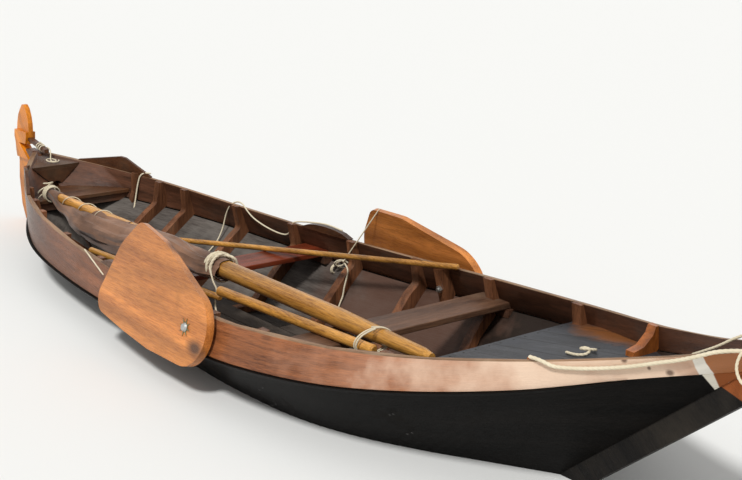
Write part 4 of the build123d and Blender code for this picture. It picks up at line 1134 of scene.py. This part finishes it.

# Leeboard tackles: each board hangs by a taut hemp line from the hull, made fast inside to a
# frame, with its loose end hanging down.
laid_rope(
    "tackle_hitch",
    [
        at(2.700, 0.640, 0.400), at(2.660, 0.690, 0.385), at(2.620, 0.700, 0.350),
        at(2.590, 0.675, 0.335), at(2.600, 0.640, 0.365), at(2.650, 0.650, 0.400),
        at(2.680, 0.700, 0.375), at(2.640, 0.720, 0.335), at(2.590, 0.710, 0.320),
        at(2.570, 0.690, 0.340), at(2.600, 0.665, 0.370), at(2.640, 0.690, 0.385),
    ],
    0.011,
)
laid_rope(
    "tackle_grommet",
    turns_about(at(2.548, 0.680, 0.312), at(2.566, 0.684, 0.316), 0.026, 0.026, 2),
    0.011,
)
free_rope(
    "tackle_tail",
    [
        at(2.700, 0.650, 0.385), at(2.745, 0.634, 0.378), at(2.775, 0.617, 0.355),
        at(2.776, 0.603, 0.313), at(2.775, 0.589, 0.268), at(2.776, 0.581, 0.221),
        at(2.776, 0.560, 0.183), at(2.775, 0.547, 0.149),
    ],
    0.010, far_end="bare", lay="hanging",
)


TACKLE, TACKLE_STEPS = 0.008, 24


def tackle(name, low, high):
    """A taut line between the hull and a leeboard."""
    line = [low.lerp(high, i / TACKLE_STEPS) for i in range(TACKLE_STEPS + 1)]
    piece = skin(name, strands(line, TACKLE), [HEMP])
    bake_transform(piece)


tackle("tackle_port", at(2.700, 0.640, 0.400), at(2.905, 0.738, 0.738))
tackle("tackle_starboard", at(2.030, -0.655, 0.530), at(2.560, -0.812, 0.540))

# Loose ends: the stern line over the gunwale, a short end on the foredeck, the line that was
# dropped on the tiller, and the bights that hang at the stem.
free_rope(
    "stern_line",
    [
        at(0.800, 0.440, 0.602), at(0.770, 0.418, 0.606), at(0.742, 0.392, 0.588),
        at(0.732, 0.380, 0.540), at(0.728, 0.368, 0.480), at(0.736, 0.350, 0.415),
        at(0.770, 0.315, 0.350), at(0.800, 0.285, 0.310), at(0.830, 0.262, 0.292),
    ],
    0.011, far_end="bare", lay="hanging",
)
DECK_SLOPE, DECK_EDGE_AT, DECK_EDGE_UP = radians(9), 4.565, 0.548


def on_deck(station, out, lift):
    """A place on the foredeck, lifted by half of what lies there."""
    return at(station, out, DECK_EDGE_UP + (station - DECK_EDGE_AT) * tan(DECK_SLOPE) + lift)


free_rope(
    "deck_end",
    [
        on_deck(5.000, 0.114, 0.008), on_deck(5.043, 0.102, 0.008), on_deck(5.082, 0.104, 0.008),
        on_deck(5.104, 0.130, 0.009), on_deck(5.086, 0.170, 0.020), on_deck(5.050, 0.172, 0.024),
        on_deck(5.052, 0.136, 0.026), on_deck(5.090, 0.140, 0.028), on_deck(5.104, 0.186, 0.016),
        on_deck(5.076, 0.206, 0.009), on_deck(5.043, 0.200, 0.008),
    ],
    0.013, far_end="bare", lay="loose",
)
free_rope(
    "stem_bight",
    [
        at(6.060, -0.124, 0.984), at(6.052, -0.140, 0.950), at(6.060, -0.142, 0.905),
        at(6.086, -0.136, 0.870), at(6.124, -0.122, 0.868), at(6.152, -0.104, 0.900),
        at(6.176, -0.090, 0.945), at(6.196, -0.078, 0.978),
    ],
    0.012, far_end="object", lay="hanging",
)
free_rope(
    "stem_line",
    [
        at(5.790, -0.050, 0.880), at(5.840, -0.050, 0.908), at(5.900, -0.044, 0.944),
        at(5.960, -0.036, 0.990), at(6.040, -0.030, 1.034), at(6.120, -0.010, 1.052),
        at(6.160, 0.030, 1.046), at(6.150, 0.062, 1.016),
    ],
    0.012, far_end="object", lay="loose",
)
laid_rope(
    "tiller_turns",
    turns_about(at(0.020, 0.0, 0.719), at(0.100, 0.0, 0.705), 0.025, 0.022, 3, 0.5),
    0.008,
)
free_rope(
    "tiller_line",
    [
        at(0.100, 0.026, 0.714), at(0.130, 0.030, 0.710), at(0.170, 0.020, 0.690),
        at(0.200, 0.002, 0.655), at(0.232, -0.010, 0.641), at(0.250, 0.016, 0.640),
        at(0.222, 0.034, 0.644), at(0.190, 0.010, 0.652), at(0.196, -0.030, 0.652),
        at(0.236, -0.040, 0.648), at(0.262, -0.012, 0.640), at(0.258, 0.036, 0.638),
        at(0.222, 0.052, 0.642),
    ],
    0.008, far_end="bare", lay="loose",
)


# Fastenings: forged, rose-headed nails through the side planks at every frame, and through the
# foredeck into its beams. Each is a low dome of black iron, a few millimetres proud.
NAIL_RADIUS, NAIL_SIDES, NAIL_CROWN, NAIL_RISE = 0.006, 8, 0.6, 0.28


def nail_heads(name, places):
    """Domes at places, each with the direction that it faces."""
    dome = bmesh.new()
    for place, facing in places:
        turn = facing.to_track_quat("Z", "Y")
        rim, crown = [
            [
                dome.verts.new(place + turn @ Vector((reach * cos(a), reach * sin(a), lift)))
                for a in [2 * pi * k / NAIL_SIDES for k in range(NAIL_SIDES)]
            ]
            for reach, lift in (
                (NAIL_RADIUS, 0.0), (NAIL_RADIUS * NAIL_CROWN, NAIL_RADIUS * NAIL_RISE),
            )
        ]
        for k in range(NAIL_SIDES):
            after = (k + 1) % NAIL_SIDES
            dome.faces.new((rim[k], rim[after], crown[after], crown[k]))
        dome.faces.new(crown)
    mesh = bpy.data.meshes.new(name)
    dome.to_mesh(mesh)
    dome.free()
    mesh.materials.append(IRON)
    mesh.shade_smooth()
    piece = bpy.data.objects.new(name, mesh)
    bpy.context.scene.collection.objects.link(piece)
    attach(piece, "hull")


def hull_place(lines, station, share):
    """A place on a port face between two faired lines, and the way that it faces."""
    x = STERN + station
    low, high = lines
    k = min(range(1, len(low)), key=lambda i: abs(low[i].x - x))
    j = min(range(1, len(high)), key=lambda i: abs(high[i].x - x))
    up = (high[j] - low[k]).normalized()
    run = (low[min(k + 1, len(low) - 1)] - low[k - 1]).normalized()
    place = low[k].lerp(high[j], share)
    place.x = x
    return place, up.cross(run).normalized()


FRAME_STATIONS = (0.911, 1.141, 1.643, 2.182, 2.728, 3.280, 3.887, 4.631)
plank_lines = faired(PLANK_FOOT), faired(SEAM)
hull_nails = []
for station in FRAME_STATIONS:
    for share in (0.2, 0.45, 0.7):
        for shift in (-0.014, 0.016):
            place, facing = hull_place(plank_lines, station + shift, share + shift)
            for hand in (1, -1):
                side = Vector((1, hand, 1))
                hull_nails.append((place * side, facing * side))
nail_heads("planking_nails", hull_nails)

NAIL_FROM_MIDDLE = 0.04
deck_up = Vector((-sin(DECK_SLOPE), 0, cos(DECK_SLOPE)))
deck_nails = [
    (on_deck(station, out, 0.0005), deck_up)
    for station, reach in ((4.60, 3), (5.05, 2), (5.45, 1))
    for board in range(-reach, reach + 1)
    for out in (board * DECK_BOARD - NAIL_FROM_MIDDLE, board * DECK_BOARD + NAIL_FROM_MIDDLE)
]
nail_heads("deck_nails", deck_nails)
